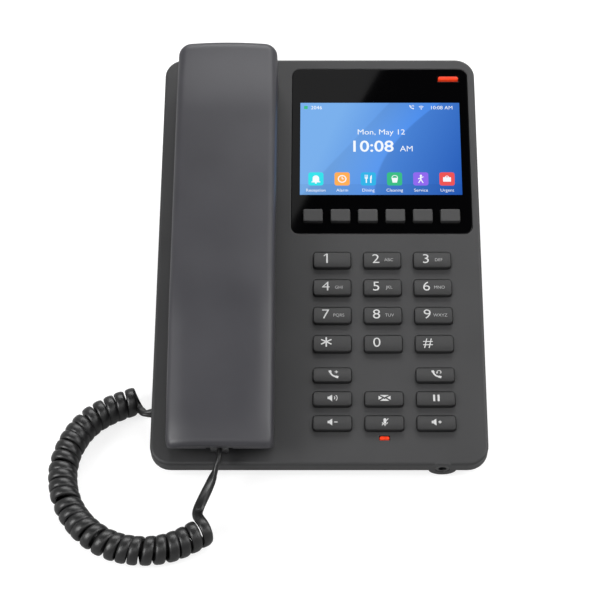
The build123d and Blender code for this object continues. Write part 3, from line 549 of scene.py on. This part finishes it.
def draw_speaker(marks, waves=0, sign=""):
    add_bar(marks, -0.42, 0.0, 0.2, 0.3)
    add_wedge(marks, (-0.38, -0.14), (-0.06, -0.42), (-0.06, 0.42), (-0.38, 0.14))
    for k in range(waves):
        add_arc(marks, -0.04, 0.0, 0.24 + 0.24 * k, 0.08, -44, 44)
    if sign:
        add_bar(marks, 0.3, 0.0, 0.34, 0.1)
    if sign == "+":
        add_bar(marks, 0.3, 0.0, 0.1, 0.34)


def draw_envelope(marks):
    add_wedge(marks, (-0.46, 0.36), (0.46, 0.36), (0.0, 0.07))
    add_wedge(marks, (-0.6, -0.24), (-0.6, 0.27), (-0.25, 0.02))
    add_wedge(marks, (0.6, -0.24), (0.25, 0.02), (0.6, 0.27))
    add_wedge(marks, (-0.46, -0.36), (-0.13, -0.09), (0.0, -0.17), (0.13, -0.09), (0.46, -0.36))


def draw_pause(marks):
    add_bar(marks, -0.22, 0.0, 0.2, 0.8)
    add_bar(marks, 0.22, 0.0, 0.2, 0.8)


def draw_microphone(marks):
    add_bar(marks, 0.0, 0.14, 0.26, 0.4)
    add_disc(marks, 0.0, 0.34, 0.13)
    add_disc(marks, 0.0, -0.06, 0.13)
    add_arc(marks, 0.0, 0.0, 0.27, 0.08, 190, 350)
    add_bar(marks, 0.0, -0.38, 0.08, 0.2)
    add_bar(marks, 0.02, 0.02, 0.08, 1.05, -38)


def draw_star(marks):
    for turn in (90, 150, 210):
        add_bar(marks, 0, 0, 1.06, 0.13, turn)


def draw_one(marks):
    """A one with a flag, which the plain letter shapes leave out."""
    add_bar(marks, 0.1, 0.0, 0.13, 1.0)
    add_wedge(marks, (-0.17, 0.32), (0.04, 0.5), (0.04, 0.37), (-0.17, 0.2))


def drawn(draw, **choices):
    marks = bmesh.new()
    draw(marks, **choices)
    return marks


def written(text, heavy=0.0, widened=1.0):
    """Text as a flat mesh, one unit high for a capital, its middle at the origin."""
    capital = 0.73
    letters = bpy.data.curves.new("letters", "FONT")
    letters.body = text
    letters.offset = heavy
    letters.resolution_u = 3
    holder = bpy.data.objects.new("letters", letters)
    bpy.context.scene.collection.objects.link(holder)
    bpy.context.view_layer.update()
    seen = holder.evaluated_get(bpy.context.evaluated_depsgraph_get())
    mesh = bpy.data.meshes.new_from_object(seen)
    bpy.data.objects.remove(holder)
    marks = bmesh.new()
    marks.from_mesh(mesh)
    bpy.data.meshes.remove(mesh)
    low = min(vert.co.x for vert in marks.verts)
    high = max(vert.co.x for vert in marks.verts)
    bmesh.ops.translate(marks, verts=marks.verts, vec=(-(low + high) / 2, -capital / 2, 0))
    bmesh.ops.scale(marks, verts=marks.verts, vec=(widened / capital, 1 / capital, 1))
    return marks


def lay_marks(shape, marks, size, x, v, height_at, index, lift=0.03, cut_every=0.8):
    """Lays flat marks on a curved top: cut across, then each corner put at the top's height."""
    bmesh.ops.scale(marks, verts=marks.verts, vec=(size, size, 1))
    bmesh.ops.translate(marks, verts=marks.verts, vec=(x, v, 0))
    if cut_every:
        low = min(vert.co.y for vert in marks.verts)
        high = max(vert.co.y for vert in marks.verts)
        level = low + cut_every
        while level < high:
            whole = marks.verts[:] + marks.edges[:] + marks.faces[:]
            bmesh.ops.bisect_plane(marks, geom=whole, plane_co=(0, level, 0),
                                   plane_no=(0, 1, 0))
            level += cut_every
    for vert in marks.verts:
        vert.co.z = height_at(vert.co.x, vert.co.y) + lift
    bmesh.ops.recalc_face_normals(marks, faces=marks.faces)
    for face in marks.faces:
        if face.normal.z < 0:
            face.normal_flip()
        face.material_index = index
    flat = bpy.data.meshes.new("marks")
    marks.to_mesh(flat)
    marks.free()
    shape.from_mesh(flat)
    bpy.data.meshes.remove(flat)


# ---------------------------------------------------------------- keys

key_width = 16.5
digit_length = 8.5
function_length = 7.3
key_corner = 1.5
key_edge = 0.35
key_top = 2.0
key_low = 0.12
key_rim = 0.7
key_bow = 1.7
key_cheek = 0.10
key_stem = 2.3
digit_size = 5.4
star_size = 4.9
letter_size = 1.75
sign_size = 4.3
flange_top = -2.6
flange_foot = -3.5
flange_lip = 0.65
stem_foot = -6.9
stem_root = flange_foot + 0.05


def add_flange_and_stem(cap, stem_radius):
    """The hidden part of a key: its walls, the flange under the cover, and the stem."""
    skirt_and_close(cap, [(flange_top, 0.0), (flange_top, flange_lip), (flange_foot, 0.0)])
    stem = bmesh.ops.create_cone(cap, cap_ends=True, segments=24, radius1=stem_radius,
                                 radius2=stem_radius, depth=stem_root - stem_foot)["verts"]
    bmesh.ops.translate(cap, verts=stem, vec=(0, 0, (stem_foot + stem_root) / 2))


def key_height(length):
    """Height of a key's top at a place: highest at its front, bowed down to its rear."""

    def height_at(x, v):
        run = max(0.0, min(1.0, (v + length / 2 - key_rim) / (length - key_rim)))
        bow = key_low + (key_top - key_low) * (1 - run ** key_bow)
        cheek = key_cheek * (abs(x) / (key_width / 2)) ** 4
        return bow + cheek * run

    return height_at


def make_key(name, x, v, length, marks):
    """A cap with its marks: each is a flat mesh, a size and a place on the cap."""
    height_at = key_height(length)
    steps = fillet_steps(key_edge, 3)
    side_steps = steps + [0.8, 1.3]
    columns = lines_across(key_width, side_steps, side_steps, 9)
    rows = lines_across(length, steps + [0.55, 0.75, 1.0], side_steps, 8)
    cap = rounded_top(columns, rows, key_corner, key_corner, height_at, lambda v: key_edge)
    add_flange_and_stem(cap, key_stem)
    for index, (mark, size, mark_x, mark_v) in enumerate(marks, 1):
        lay_marks(cap, mark, size, mark_x, mark_v, height_at, index)
    bmesh.ops.translate(cap, verts=cap.verts, vec=(x, v, 0))
    finishes = [slot_finishes["key_plastic"], white_ink, faint_ink]
    piece = finish_piece(name + "_cap", cap, name, finishes)
    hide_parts(name)


key_columns = (5.6, 27.8, 50.0)
digit_rows = (97.3, 83.6, 69.9, 56.2)
function_rows = (41.25, 30.0, 18.75)
digit_marks = (
    (("1", ""), ("2", "ABC"), ("3", "DEF")),
    (("4", "GHI"), ("5", "JKL"), ("6", "MNO")),
    (("7", "PQRS"), ("8", "TUV"), ("9", "WXYZ")),
    (("star", ""), ("0", ""), ("hash", "")),
)
for row, v in zip(digit_marks, digit_rows):
    for (digit, letters), x in zip(row, key_columns):
        if digit == "star":
            marks = [(drawn(draw_star), star_size, -2.6, 0.6)]
        elif digit == "1":
            marks = [(drawn(draw_one), digit_size, -2.8, 0.6)]
        else:
            text = "#" if digit == "hash" else digit
            marks = [(written(text, -0.006), digit_size, -2.8, 0.6)]
        if letters:
            marks.append((written(letters, -0.004, 0.86), letter_size, 2.9, -0.2))
        make_key("key_" + digit, x, v, digit_length, marks)

function_marks = (
    ("key_call", 0, 0, draw_handset, {"plus": True}),
    ("key_redial", 2, 0, draw_handset, {"swirl": True}),
    ("key_speaker", 0, 1, draw_speaker, {"waves": 2}),
    ("key_message", 1, 1, draw_envelope, {}),
    ("key_hold", 2, 1, draw_pause, {}),
    ("key_volume_down", 0, 2, draw_speaker, {"sign": "-"}),
    ("key_mute", 1, 2, draw_microphone, {}),
    ("key_volume_up", 2, 2, draw_speaker, {"sign": "+"}),
)
for name, column, row, draw, choices in function_marks:
    mark_v = -0.3 if row == 0 else 0.1
    make_key(name, key_columns[column], function_rows[row], function_length,
             [(drawn(draw, **choices), sign_size, 0.2, mark_v)])

soft_width = 8.73
soft_length = 6.3
soft_corner = 0.7
soft_edge = 0.3
soft_top = 1.45
soft_slant = 0.15
soft_dip = 0.12
soft_stem = 2.0
soft_v = 119.85
soft_first_x = -3.0
soft_pitch = 12.34


def soft_height(x, v):
    """Height of a soft key's top: a slight slant to the rear, and a dip for the finger."""
    slant = soft_top - soft_slant * v / (soft_length / 2)
    dip = soft_dip * (1 - (x / (soft_width / 2)) ** 2)
    return slant - dip


for number in range(6):
    name = f"soft_key_{number + 1}"
    steps = fillet_steps(soft_edge, 3) + [0.7]
    columns = lines_across(soft_width, steps, steps, 5)
    rows = lines_across(soft_length, steps, steps, 4)
    cap = rounded_top(columns, rows, soft_corner, soft_corner, soft_height, lambda v: soft_edge)
    add_flange_and_stem(cap, soft_stem)
    place = (soft_first_x + soft_pitch * number, soft_v, 0)
    bmesh.ops.translate(cap, verts=cap.verts, vec=place)
    piece = finish_piece(name + "_cap", cap, name, [soft_key_plastic])
    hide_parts(name)


# ---------------------------------------------------------------- lights

lamp_edge = 0.4
lamp_foot = -2.4


def make_lamp(name, x, v, width, length, top):
    """A light guide with rounded ends and a rounded rim."""
    steps = fillet_steps(lamp_edge, 3)
    corner = length * 0.49
    columns = lines_across(width, steps + [0.8, 1.3], steps + [0.8, 1.3], 6)
    rows = lines_across(length, steps + [0.7], steps + [0.7], 2)
    lamp = rounded_top(columns, rows, corner, corner, lambda x, v: top, lambda v: lamp_edge)
    skirt_and_close(lamp, [(lamp_foot, 0.0)])
    bmesh.ops.translate(lamp, verts=lamp.verts, vec=(x, v, 0))
    piece = finish_piece(name + "_lens", lamp, "base", [slot_finishes["lamp_red"]])
    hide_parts(name)


make_lamp("message_light", 59.7, 193.3, width=9.3, length=1.9, top=0.42)
make_lamp("mute_light", 27.8, 12.1, width=4.2, length=1.6, top=0.10)


# ---------------------------------------------------------------- handset

handset_x = -41.8
handset_width = 45.0
handset_front = 3.0
handset_rear = 198.5
handset_length = handset_rear - handset_front
handset_middle = (handset_front + handset_rear) / 2
front_corner = 3.6
rear_corner = 5.6
parting = 12.0
front_overhang = 1.2
overhang_reach = 5.0
# the bar, bowed along its length, with a fall to its rear end
bar_top = 27.0
bar_middle = 140.0
bar_half = 75.0
bar_bow = 0.9
bar_crown = 1.9
rear_fall = 1.9
rear_fall_run = (160.0, 200.0)
# the paddle, with a lip that falls to its front end and a dish along its middle
paddle_top = 18.5
paddle_rise = 0.129
paddle_crown = 3.2
lip_back = 14.0
lip_fall = 1.2
dish_depth = 0.8
neck_run = (46.0, 92.0)
# radius of the rounded edge, and what the bar and its rear end add to it
paddle_edge = 1.8
bar_edge_more = 1.2
rear_edge_more = 0.6


def handset_height(x, v):
    """Height of the handset's back at a place, before its edges are rounded off."""
    side = abs(x) / (handset_width / 2)
    bow = bar_bow * ((v - bar_middle) / bar_half) ** 2
    bar = bar_top - bow - rear_fall * eased(v, *rear_fall_run)
    lip = lip_fall * max(0.0, (lip_back - v) / (lip_back - handset_front)) ** 2.2
    paddle = paddle_top + (v - handset_front) * paddle_rise - lip
    spine = paddle + (bar - paddle) * eased(v, *neck_run)
    bar_share = eased(v, 50.0, 100.0)
    crown = (bar_crown * bar_share * side * side
             + paddle_crown * (1 - bar_share) * side ** 3.4)
    dish_along = eased(v, handset_front + 2.0, handset_front + 30.0)
    dish = dish_depth * (1 - eased(v, 52.0, 92.0)) * dish_along
    return spine - crown - dish * (1 - eased(side, 0.1, 0.85))


def handset_edge(v):
    """Radius of the rounded edge at a distance v from the handset's middle."""
    rear_share = eased(v, handset_length / 2 - 22, handset_length / 2 - 6)
    bar_share = eased(v + handset_middle, 55.0, 95.0)
    return paddle_edge + bar_edge_more * bar_share + rear_edge_more * rear_share


def make_handset_back():
    """Upper shell: a crowned bar that dips to a dished paddle, with soft edges all round."""
    side_steps = fillet_steps(4.2, 7) + [5.2, 6.4, 8.0]
    front_steps = fillet_steps(2.0, 5) + [2.6, 3.6, 5.0]
    rear_steps = fillet_steps(8.0, 8) + [9.6]
    shell = rounded_top(
        lines_across(handset_width, side_steps, side_steps, 11),
        lines_across(handset_length, front_steps, rear_steps, 64),
        front_corner, rear_corner,
        lambda x, v: handset_height(x, v + handset_middle), handset_edge,
    )
    # the paddle's front end leans out over its wall
    front = -handset_length / 2
    for vert in shell.verts:
        vert.co.y -= front_overhang * (1 - eased(vert.co.y, front, front + overhang_reach))
    skirt(shell, [(parting + 0.25, 0.0), (parting, -0.25), (parting, -1.5),
                  (parting - 0.9, 0.0), (parting - 0.9, -0.4)])
    for vert in shell.verts:
        if vert.co.z < parting + 0.3 and vert.co.y < front + overhang_reach:
            share = 1 - eased(vert.co.y, front - front_overhang, front + overhang_reach)
            vert.co.y += front_overhang * share
    bmesh.ops.recalc_face_normals(shell, faces=shell.faces)
    bmesh.ops.translate(shell, verts=shell.verts, vec=(handset_x, handset_middle, 0))
    finishes = [slot_finishes["handset_plastic"]]
    piece = finish_piece("handset_back", shell, "handset", finishes)
    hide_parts("handset_back_shell")


make_handset_back()


# ---------------------------------------------------------------- display

panel_x = 27.8
panel_width = 73.44
panel_low = 131.0
panel_high = 179.94
panel_height = panel_high - panel_low
wallpaper_lift = 0.02
tile_lift = 0.03
text_lift = 0.035
icon_lift = 0.04


def make_picture():
    """The lit area under the window: one flat face, its corners numbered for the picture."""
    plate = bmesh.new()
    bmesh.ops.create_grid(plate, x_segments=1, y_segments=1, size=0.5)
    bmesh.ops.scale(plate, verts=plate.verts, vec=(panel_width, panel_height, 1))
    middle = (panel_x, (panel_low + panel_high) / 2, wallpaper_lift)
    bmesh.ops.translate(plate, verts=plate.verts, vec=middle)
    layer = plate.loops.layers.uv.new("picture")
    for face in plate.faces:
        for loop in face.loops:
            across = (loop.vert.co.x - panel_x) / panel_width + 0.5
            loop[layer].uv = (across, (loop.vert.co.y - panel_low) / panel_height)
    finish_piece("display_wallpaper", plate, "base", [display_picture])


def picture_mark(shape, marks, size, x, v, index, lift=text_lift):
    lay_marks(shape, marks, size, x, v, lambda x, v: 0.0, index, lift=lift, cut_every=0)


def rounded_tile(size, corner):
    tile = bmesh.new()
    bmesh.ops.create_grid(tile, x_segments=1, y_segments=1, size=size / 2)
    bmesh.ops.bevel(tile, geom=tile.verts, offset=corner, offset_type="OFFSET", segments=5,
                    profile=0.5, affect="VERTICES", material=-1)
    return tile


def draw_bell(marks):
    add_disc(marks, 0, 0.08, 0.32)
    add_bar(marks, 0, -0.14, 0.64, 0.34)
    add_bar(marks, 0, -0.34, 0.86, 0.1)
    add_disc(marks, 0, -0.44, 0.1)


def draw_clock(marks):
    add_arc(marks, 0, 0, 0.38, 0.11, 0, 360, 24)
    add_bar(marks, 0, 0.12, 0.08, 0.26)
    add_bar(marks, 0.09, 0.0, 0.2, 0.08)


def draw_fork_and_knife(marks):
    add_bar(marks, -0.2, -0.2, 0.12, 0.5)
    add_bar(marks, -0.2, 0.1, 0.3, 0.14)
    for x in (-0.32, -0.2, -0.08):
        add_bar(marks, x, 0.3, 0.06, 0.34)
    add_bar(marks, 0.24, -0.2, 0.12, 0.5)
    add_wedge(marks, (0.16, 0.0), (0.34, 0.0), (0.34, 0.46), (0.2, 0.3))


def draw_bucket(marks):
    add_wedge(marks, (-0.2, -0.42), (0.24, -0.42), (0.34, 0.12), (-0.3, 0.12))
    add_arc(marks, 0.02, 0.12, 0.28, 0.07, 0, 180)


def draw_person(marks):
    add_disc(marks, 0.02, 0.36, 0.12)
    add_bar(marks, 0, 0.06, 0.14, 0.4)
    add_bar(marks, -0.13, -0.28, 0.1, 0.4, -28)
    add_bar(marks, 0.13, -0.28, 0.1, 0.4, 28)
    add_bar(marks, 0.0, 0.12, 0.6, 0.09, 24)


def draw_first_aid(marks):
    add_bar(marks, 0, -0.06, 0.78, 0.5)
    add_arc(marks, 0, 0.16, 0.17, 0.08, 0, 180)


def draw_signal(marks):
    add_disc(marks, 0, -0.34, 0.09)
    for k in range(3):
        add_arc(marks, 0, -0.34, 0.24 + 0.2 * k, 0.09, 50, 130)


def make_picture_marks():
    """Everything shown over the wallpaper: a status line, the date, the time and six tiles."""
    white = 0
    green = 1
    status_v = 177.4
    tile_v = 139.3
    label_v = 133.5
    first_tile_x = -1.7
    tile_pitch = 11.9
    marks = bmesh.new()
    for made, size, x, v, index in (
        (rounded_tile(1.7, 0.3), 1.0, -6.4, status_v, green),
        (written("2046"), 1.9, -1.5, status_v, white),
        (drawn(draw_handset, swirl=True), 2.2, 42.3, status_v, white),
        (drawn(draw_signal), 2.6, 46.9, status_v, white),
        (written("10:08 AM"), 1.95, 56.4, status_v, white),
        (written("Mon, May 12", 0.0, 1.06), 2.9, 28.3, 164.3, white),
        (written("10:08", 0.012, 1.1), 6.1, 24.6, 156.8, white),
        (written("AM", -0.004), 3.1, 39.6, 155.4, white),
    ):
        picture_mark(marks, made, size, x, v, index)
    tiles = (
        ("Reception", draw_bell),
        ("Alarm", draw_clock),
        ("Dining", draw_fork_and_knife),
        ("Cleaning", draw_bucket),
        ("Service", draw_person),
        ("Urgent", draw_first_aid),
    )
    for k, (label, draw) in enumerate(tiles):
        x = first_tile_x + tile_pitch * k
        picture_mark(marks, rounded_tile(6.9, 1.1), 1.0, x, tile_v, k + 2, lift=tile_lift)
        picture_mark(marks, drawn(draw), 4.6, x, tile_v, white, lift=icon_lift)
        picture_mark(marks, written(label, -0.004), 1.6, x, label_v, white)
    finishes = [lit[colour] for colour in
                ("white", "green", "cyan", "orange", "blue", "green", "purple", "red")]
    finish_piece("display_marks", marks, "base", finishes)


make_picture()
make_picture_marks()


# ---------------------------------------------------------------- curly cord

strand_width = 4.5
strand_thick = 2.3
strand_sides = 14
strand_squareness = 2.6
coil_radius = 5.2
coil_slack = 0.12
coil_turns = 28
steps_per_turn = 20
lead_steps = 90
tail_steps = 40


def route(places):
    """Points of a smooth line through the control points, in metres."""
    curve = bpy.data.curves.new("route", "CURVE")
    curve.dimensions = "3D"
    curve.resolution_u = 32
    line = curve.splines.new("NURBS")
    line.points.add(len(places) - 1)
    for point, place in zip(line.points, places):
        point.co = (place[0] * MM, place[1] * MM, place[2] * MM, 1)
    line.order_u = 3
    line.use_endpoint_u = True
    holder = bpy.data.objects.new("route", curve)
    bpy.context.scene.collection.objects.link(holder)
    bpy.context.view_layer.update()
    mesh = bpy.data.meshes.new_from_object(holder)
    spots = [vert.co.copy() for vert in mesh.vertices]
    bpy.data.objects.remove(holder)
    bpy.data.meshes.remove(mesh)
    return spots


def evenly(spots, count):
    """The line's points spaced evenly along it."""
    lengths = [0.0]
    for before, after in zip(spots, spots[1:]):
        lengths.append(lengths[-1] + (after - before).length)
    even = []
    k = 0
    for step in range(count + 1):
        wanted = lengths[-1] * step / count
        while k < len(spots) - 2 and lengths[k + 1] < wanted:
            k += 1
        gap = lengths[k + 1] - lengths[k]
        share = (wanted - lengths[k]) / gap if gap > 0 else 0.0
        even.append(spots[k].lerp(spots[k + 1], min(1.0, max(0.0, share))))
    return even


def ahead_at(spots, k):
    """The way a line runs at one of its points."""
    return (spots[min(k + 1, len(spots) - 1)] - spots[max(k - 1, 0)]).normalized()


def strand_ring(strand, place, closed):
    """One section of the flat cord, a circle drawn out to an oblong with round corners."""
    ring = bmesh.ops.create_circle(strand, cap_ends=closed, radius=1.0, segments=strand_sides,
                                   matrix=place)["verts"]
    for vert in ring:
        local = place.inverted() @ vert.co
        power = strand_squareness
        bulge = (abs(local.x) ** power + abs(local.y) ** power) ** (-1 / power)
        vert.co = place @ Vector((local.x * bulge, local.y * bulge, 0))
    return list(dict.fromkeys(edge for vert in ring for edge in vert.link_edges))


def flat_strand(name, spots, wide_ways, body):
    """A flat cord along a line: its wide side points along wide_ways at each spot."""
    strand = bmesh.new()
    size = Matrix.Diagonal((strand_width / 2 * MM, strand_thick / 2 * MM, 1, 1))
    rings = []
    for k, (spot, wide) in enumerate(zip(spots, wide_ways)):
        ahead = ahead_at(spots, k)
        across = (wide - ahead * wide.dot(ahead)).normalized()
        up = ahead.cross(across)
        turn = Matrix((
            (across.x, up.x, ahead.x, spot.x),
            (across.y, up.y, ahead.y, spot.y),
            (across.z, up.z, ahead.z, spot.z),
            (0, 0, 0, 1),
        ))
        rings.append(strand_ring(strand, turn @ size, closed=k in (0, len(spots) - 1)))
    for first, second in zip(rings, rings[1:]):
        bmesh.ops.bridge_loops(strand, edges=first + second)
    bmesh.ops.recalc_face_normals(strand, faces=strand.faces)
    return finish_piece(name, strand, body, [slot_finishes["cord_vinyl"]],
                        placed=Matrix.Identity(4), sharp=60)


# the cord's route, in row millimetres
coil_places = (
    (-47.6, -128.4, 6.4),
    (-57.2, -135.8, 6.4),
    (-71.2, -139.2, 6.4),
    (-86.2, -136.6, 6.4),
    (-99.2, -127.0, 6.4),
    (-107.9, -111.4, 6.4),
    (-109.6, -93.0, 6.4),
    (-103.6, -76.0, 6.4),
    (-92.6, -65.2, 6.4),
    (-80.0, -60.2, 6.4),
)
handset_exit = (-41.8, -97.548, 20.76)
base_exit = (-70.5, -69.736, 10.071)

# the coil, a little unevenly wound in its radius and its pitch
coil_axis = evenly(route(coil_places), steps_per_turn * coil_turns + 11)
first_angle = 118.0
last_angle = -80.0 - 360.0 * coil_turns
straight_up = Vector((0, 0, 1))
coil_line = []
coil_ways = []
for k, spot in enumerate(coil_axis):
    share = k / (len(coil_axis) - 1)
    ahead = ahead_at(coil_axis, k)
    side = straight_up.cross(ahead).normalized()
    angle = radians(first_angle + (last_angle - first_angle) * share)
    out = side * cos(angle) + straight_up * sin(angle)
    slack = 0.25 * sin(share * 23.0) + 0.15 * sin(share * 61.0)
    shift = (0.65 * sin(share * 37.0) + 0.3 * sin(share * 97.0)) * sin(pi * share)
    radius = coil_radius + coil_slack * (slack - 1)
    coil_line.append(spot + out * radius * MM + ahead * shift * MM)
    coil_ways.append(ahead)

# the lead turns from edge-on at the handset to flat, then into the coil's first turn
coil_start = coil_line[0] / MM
coil_way_in = (coil_line[1] - coil_line[0]).normalized()
lead_places = (
    handset_exit,
    (-41.8, -101.2, 19.85),
    (-43.2, -104.4, 17.2),
    (-45.6, -108.8, 12.6),
    (-48.6, -114.0, 9.2),
    (-50.5, -118.3, 7.9),
    (-50.9, -121.8, 8.3),
    tuple(coil_start - coil_way_in * 1.8),
    tuple(coil_start),
)
lead_line = evenly(route(lead_places), lead_steps)
edge_on = Vector((0.12, 0.25, 1.0)).normalized()
coil_way = -coil_ways[0]
lead_ways = []
for k in range(len(lead_line)):
    ahead = ahead_at(lead_line, k)
    flat = Vector((-ahead.y, ahead.x, 0.0)).normalized()
    share = eased(k / lead_steps, 0.1, 0.62)
    settle = eased(k / lead_steps, 0.7, 1.0)
    way = edge_on * (1 - share) + flat * share * (1 - settle) + coil_way * settle
    lead_ways.append(way.normalized())
lead = flat_strand("handset_lead", lead_line, lead_ways, None)
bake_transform(lead)
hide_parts("cord_handset_lead")

# the tail leaves the coil's last turn and rises to the jack in the base's left wall
coil_end = coil_line[-1] / MM
tail_places = (
    tuple(coil_end),
    (coil_end.x + 1.2, coil_end.y - 2.4, 1.7),
    (-78.0, -64.0, 4.4),
    (-76.6, -68.4, 8.4),
    (-74.6, -69.736, 9.9),
    base_exit,
)
tail_line = evenly(route(tail_places), tail_steps)
tail_middle_way = Vector((0.0, 0.65, -0.76))
tail_end_way = Vector((0.1, 1.0, 0.0))
tail_ways = []
for k in range(len(tail_line)):
    way = coil_ways[-1].lerp(tail_middle_way, eased(k / tail_steps, 0.05, 0.5))
    way = way.lerp(tail_end_way, eased(k / tail_steps, 0.6, 0.95))
    tail_ways.append(way.normalized())
long_line = coil_line + tail_line[1:]
coil = flat_strand("curly_cord", long_line, coil_ways + tail_ways[1:], "base")
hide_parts("cord_coil", "cord_base_lead")


# ---------------------------------------------------------------- studio

# the floor's own light is strong only where it is seen, so that little of it reaches the phone
floor_seen_glow = 0.78
floor_cast_glow = 0.2
floor_finish, floor_tree, floor_shader = new_finish("studio floor")
floor_ray = joined(floor_tree, "ShaderNodeLightPath").outputs["Is Camera Ray"]
fill(floor_tree, floor_shader, Base_Color=(0.30, 0.30, 0.30, 1), Roughness=0.9,
     Emission_Color=(1, 1, 1, 1),
     Emission_Strength=ranged(floor_tree, floor_ray, floor_cast_glow, floor_seen_glow))
floor_shape = bmesh.new()
bmesh.ops.create_grid(floor_shape, x_segments=1, y_segments=1, size=3.0)
floor_mesh = bpy.data.meshes.new("studio_floor")
floor_shape.to_mesh(floor_mesh)
floor_shape.free()
floor_mesh.materials.append(floor_finish)
floor = bpy.data.objects.new("studio_floor", floor_mesh)
bpy.context.scene.collection.objects.link(floor)


def softbox(name, place, target, width, height, power):
    light = bpy.data.lights.new(name, "AREA")
    light.shape = "RECTANGLE"
    light.size = width
    light.size_y = height
    light.energy = power
    holder = bpy.data.objects.new(name, light)
    holder.location = place
    holder.rotation_euler = (Vector(target) - Vector(place)).to_track_quat("-Z", "Y").to_euler()
    bpy.context.scene.collection.objects.link(holder)
    return holder


softbox("rear softbox", (0.1, 1.15, 1.15), (0.0, 0.0, 0.0), 1.5, 0.7, power=19)
softbox("front softbox", (0.15, -0.75, 1.35), (0.0, 0.0, 0.0), 1.3, 0.6, power=5)
softbox("right softbox", (1.15, 0.0, 0.95), (0.0, 0.0, 0.03), 0.7, 1.3, power=13)
softbox("left softbox", (-1.15, -0.6, 0.9), (0.0, -0.05, 0.03), 0.6, 0.9, power=17)

# a dim card overhead that the left part of the window mirrors, turned to slant its edge
card = softbox("window card", (-0.1085, 0.526, 1.3), (-0.1085, 0.526, 0.0), 0.40, 0.30, power=0.16)
card.rotation_euler = (0, 0, radians(61))

# the room is pale at eye level and dark overhead
world = bpy.data.worlds.new("studio")
world.use_nodes = True
room = world.node_tree
sky = joined(room, "ShaderNodeTexCoord").outputs["Generated"]
high_up = joined(room, "ShaderNodeSeparateXYZ", Vector=sky).outputs["Z"]
fill(room, room.nodes["Background"], Color=(1, 1, 1, 1),
     Strength=ranged(room, high_up, 0.42, 0.01, start=0.62, end=0.90, smooth=True))
bpy.context.scene.world = world

camera_target = Vector((2.9, -23.83, 31.82)) * MM
camera_way = Vector((0, -0.6521, 0.7581))
camera_distance = 0.8832
camera_data = bpy.data.cameras.new("camera")
camera_data.lens = 118.25
camera_data.sensor_width = 36.0
camera_data.shift_x = -0.0336
camera_data.clip_start = 0.05
camera_data.clip_end = 20.0
camera = bpy.data.objects.new("camera", camera_data)
camera.location = camera_target + camera_way * camera_distance
camera.rotation_euler = (-camera_way).to_track_quat("-Z", "Y").to_euler()
bpy.context.scene.collection.objects.link(camera)
bpy.context.scene.camera = camera
bpy.context.scene.view_settings.view_transform = "Standard"
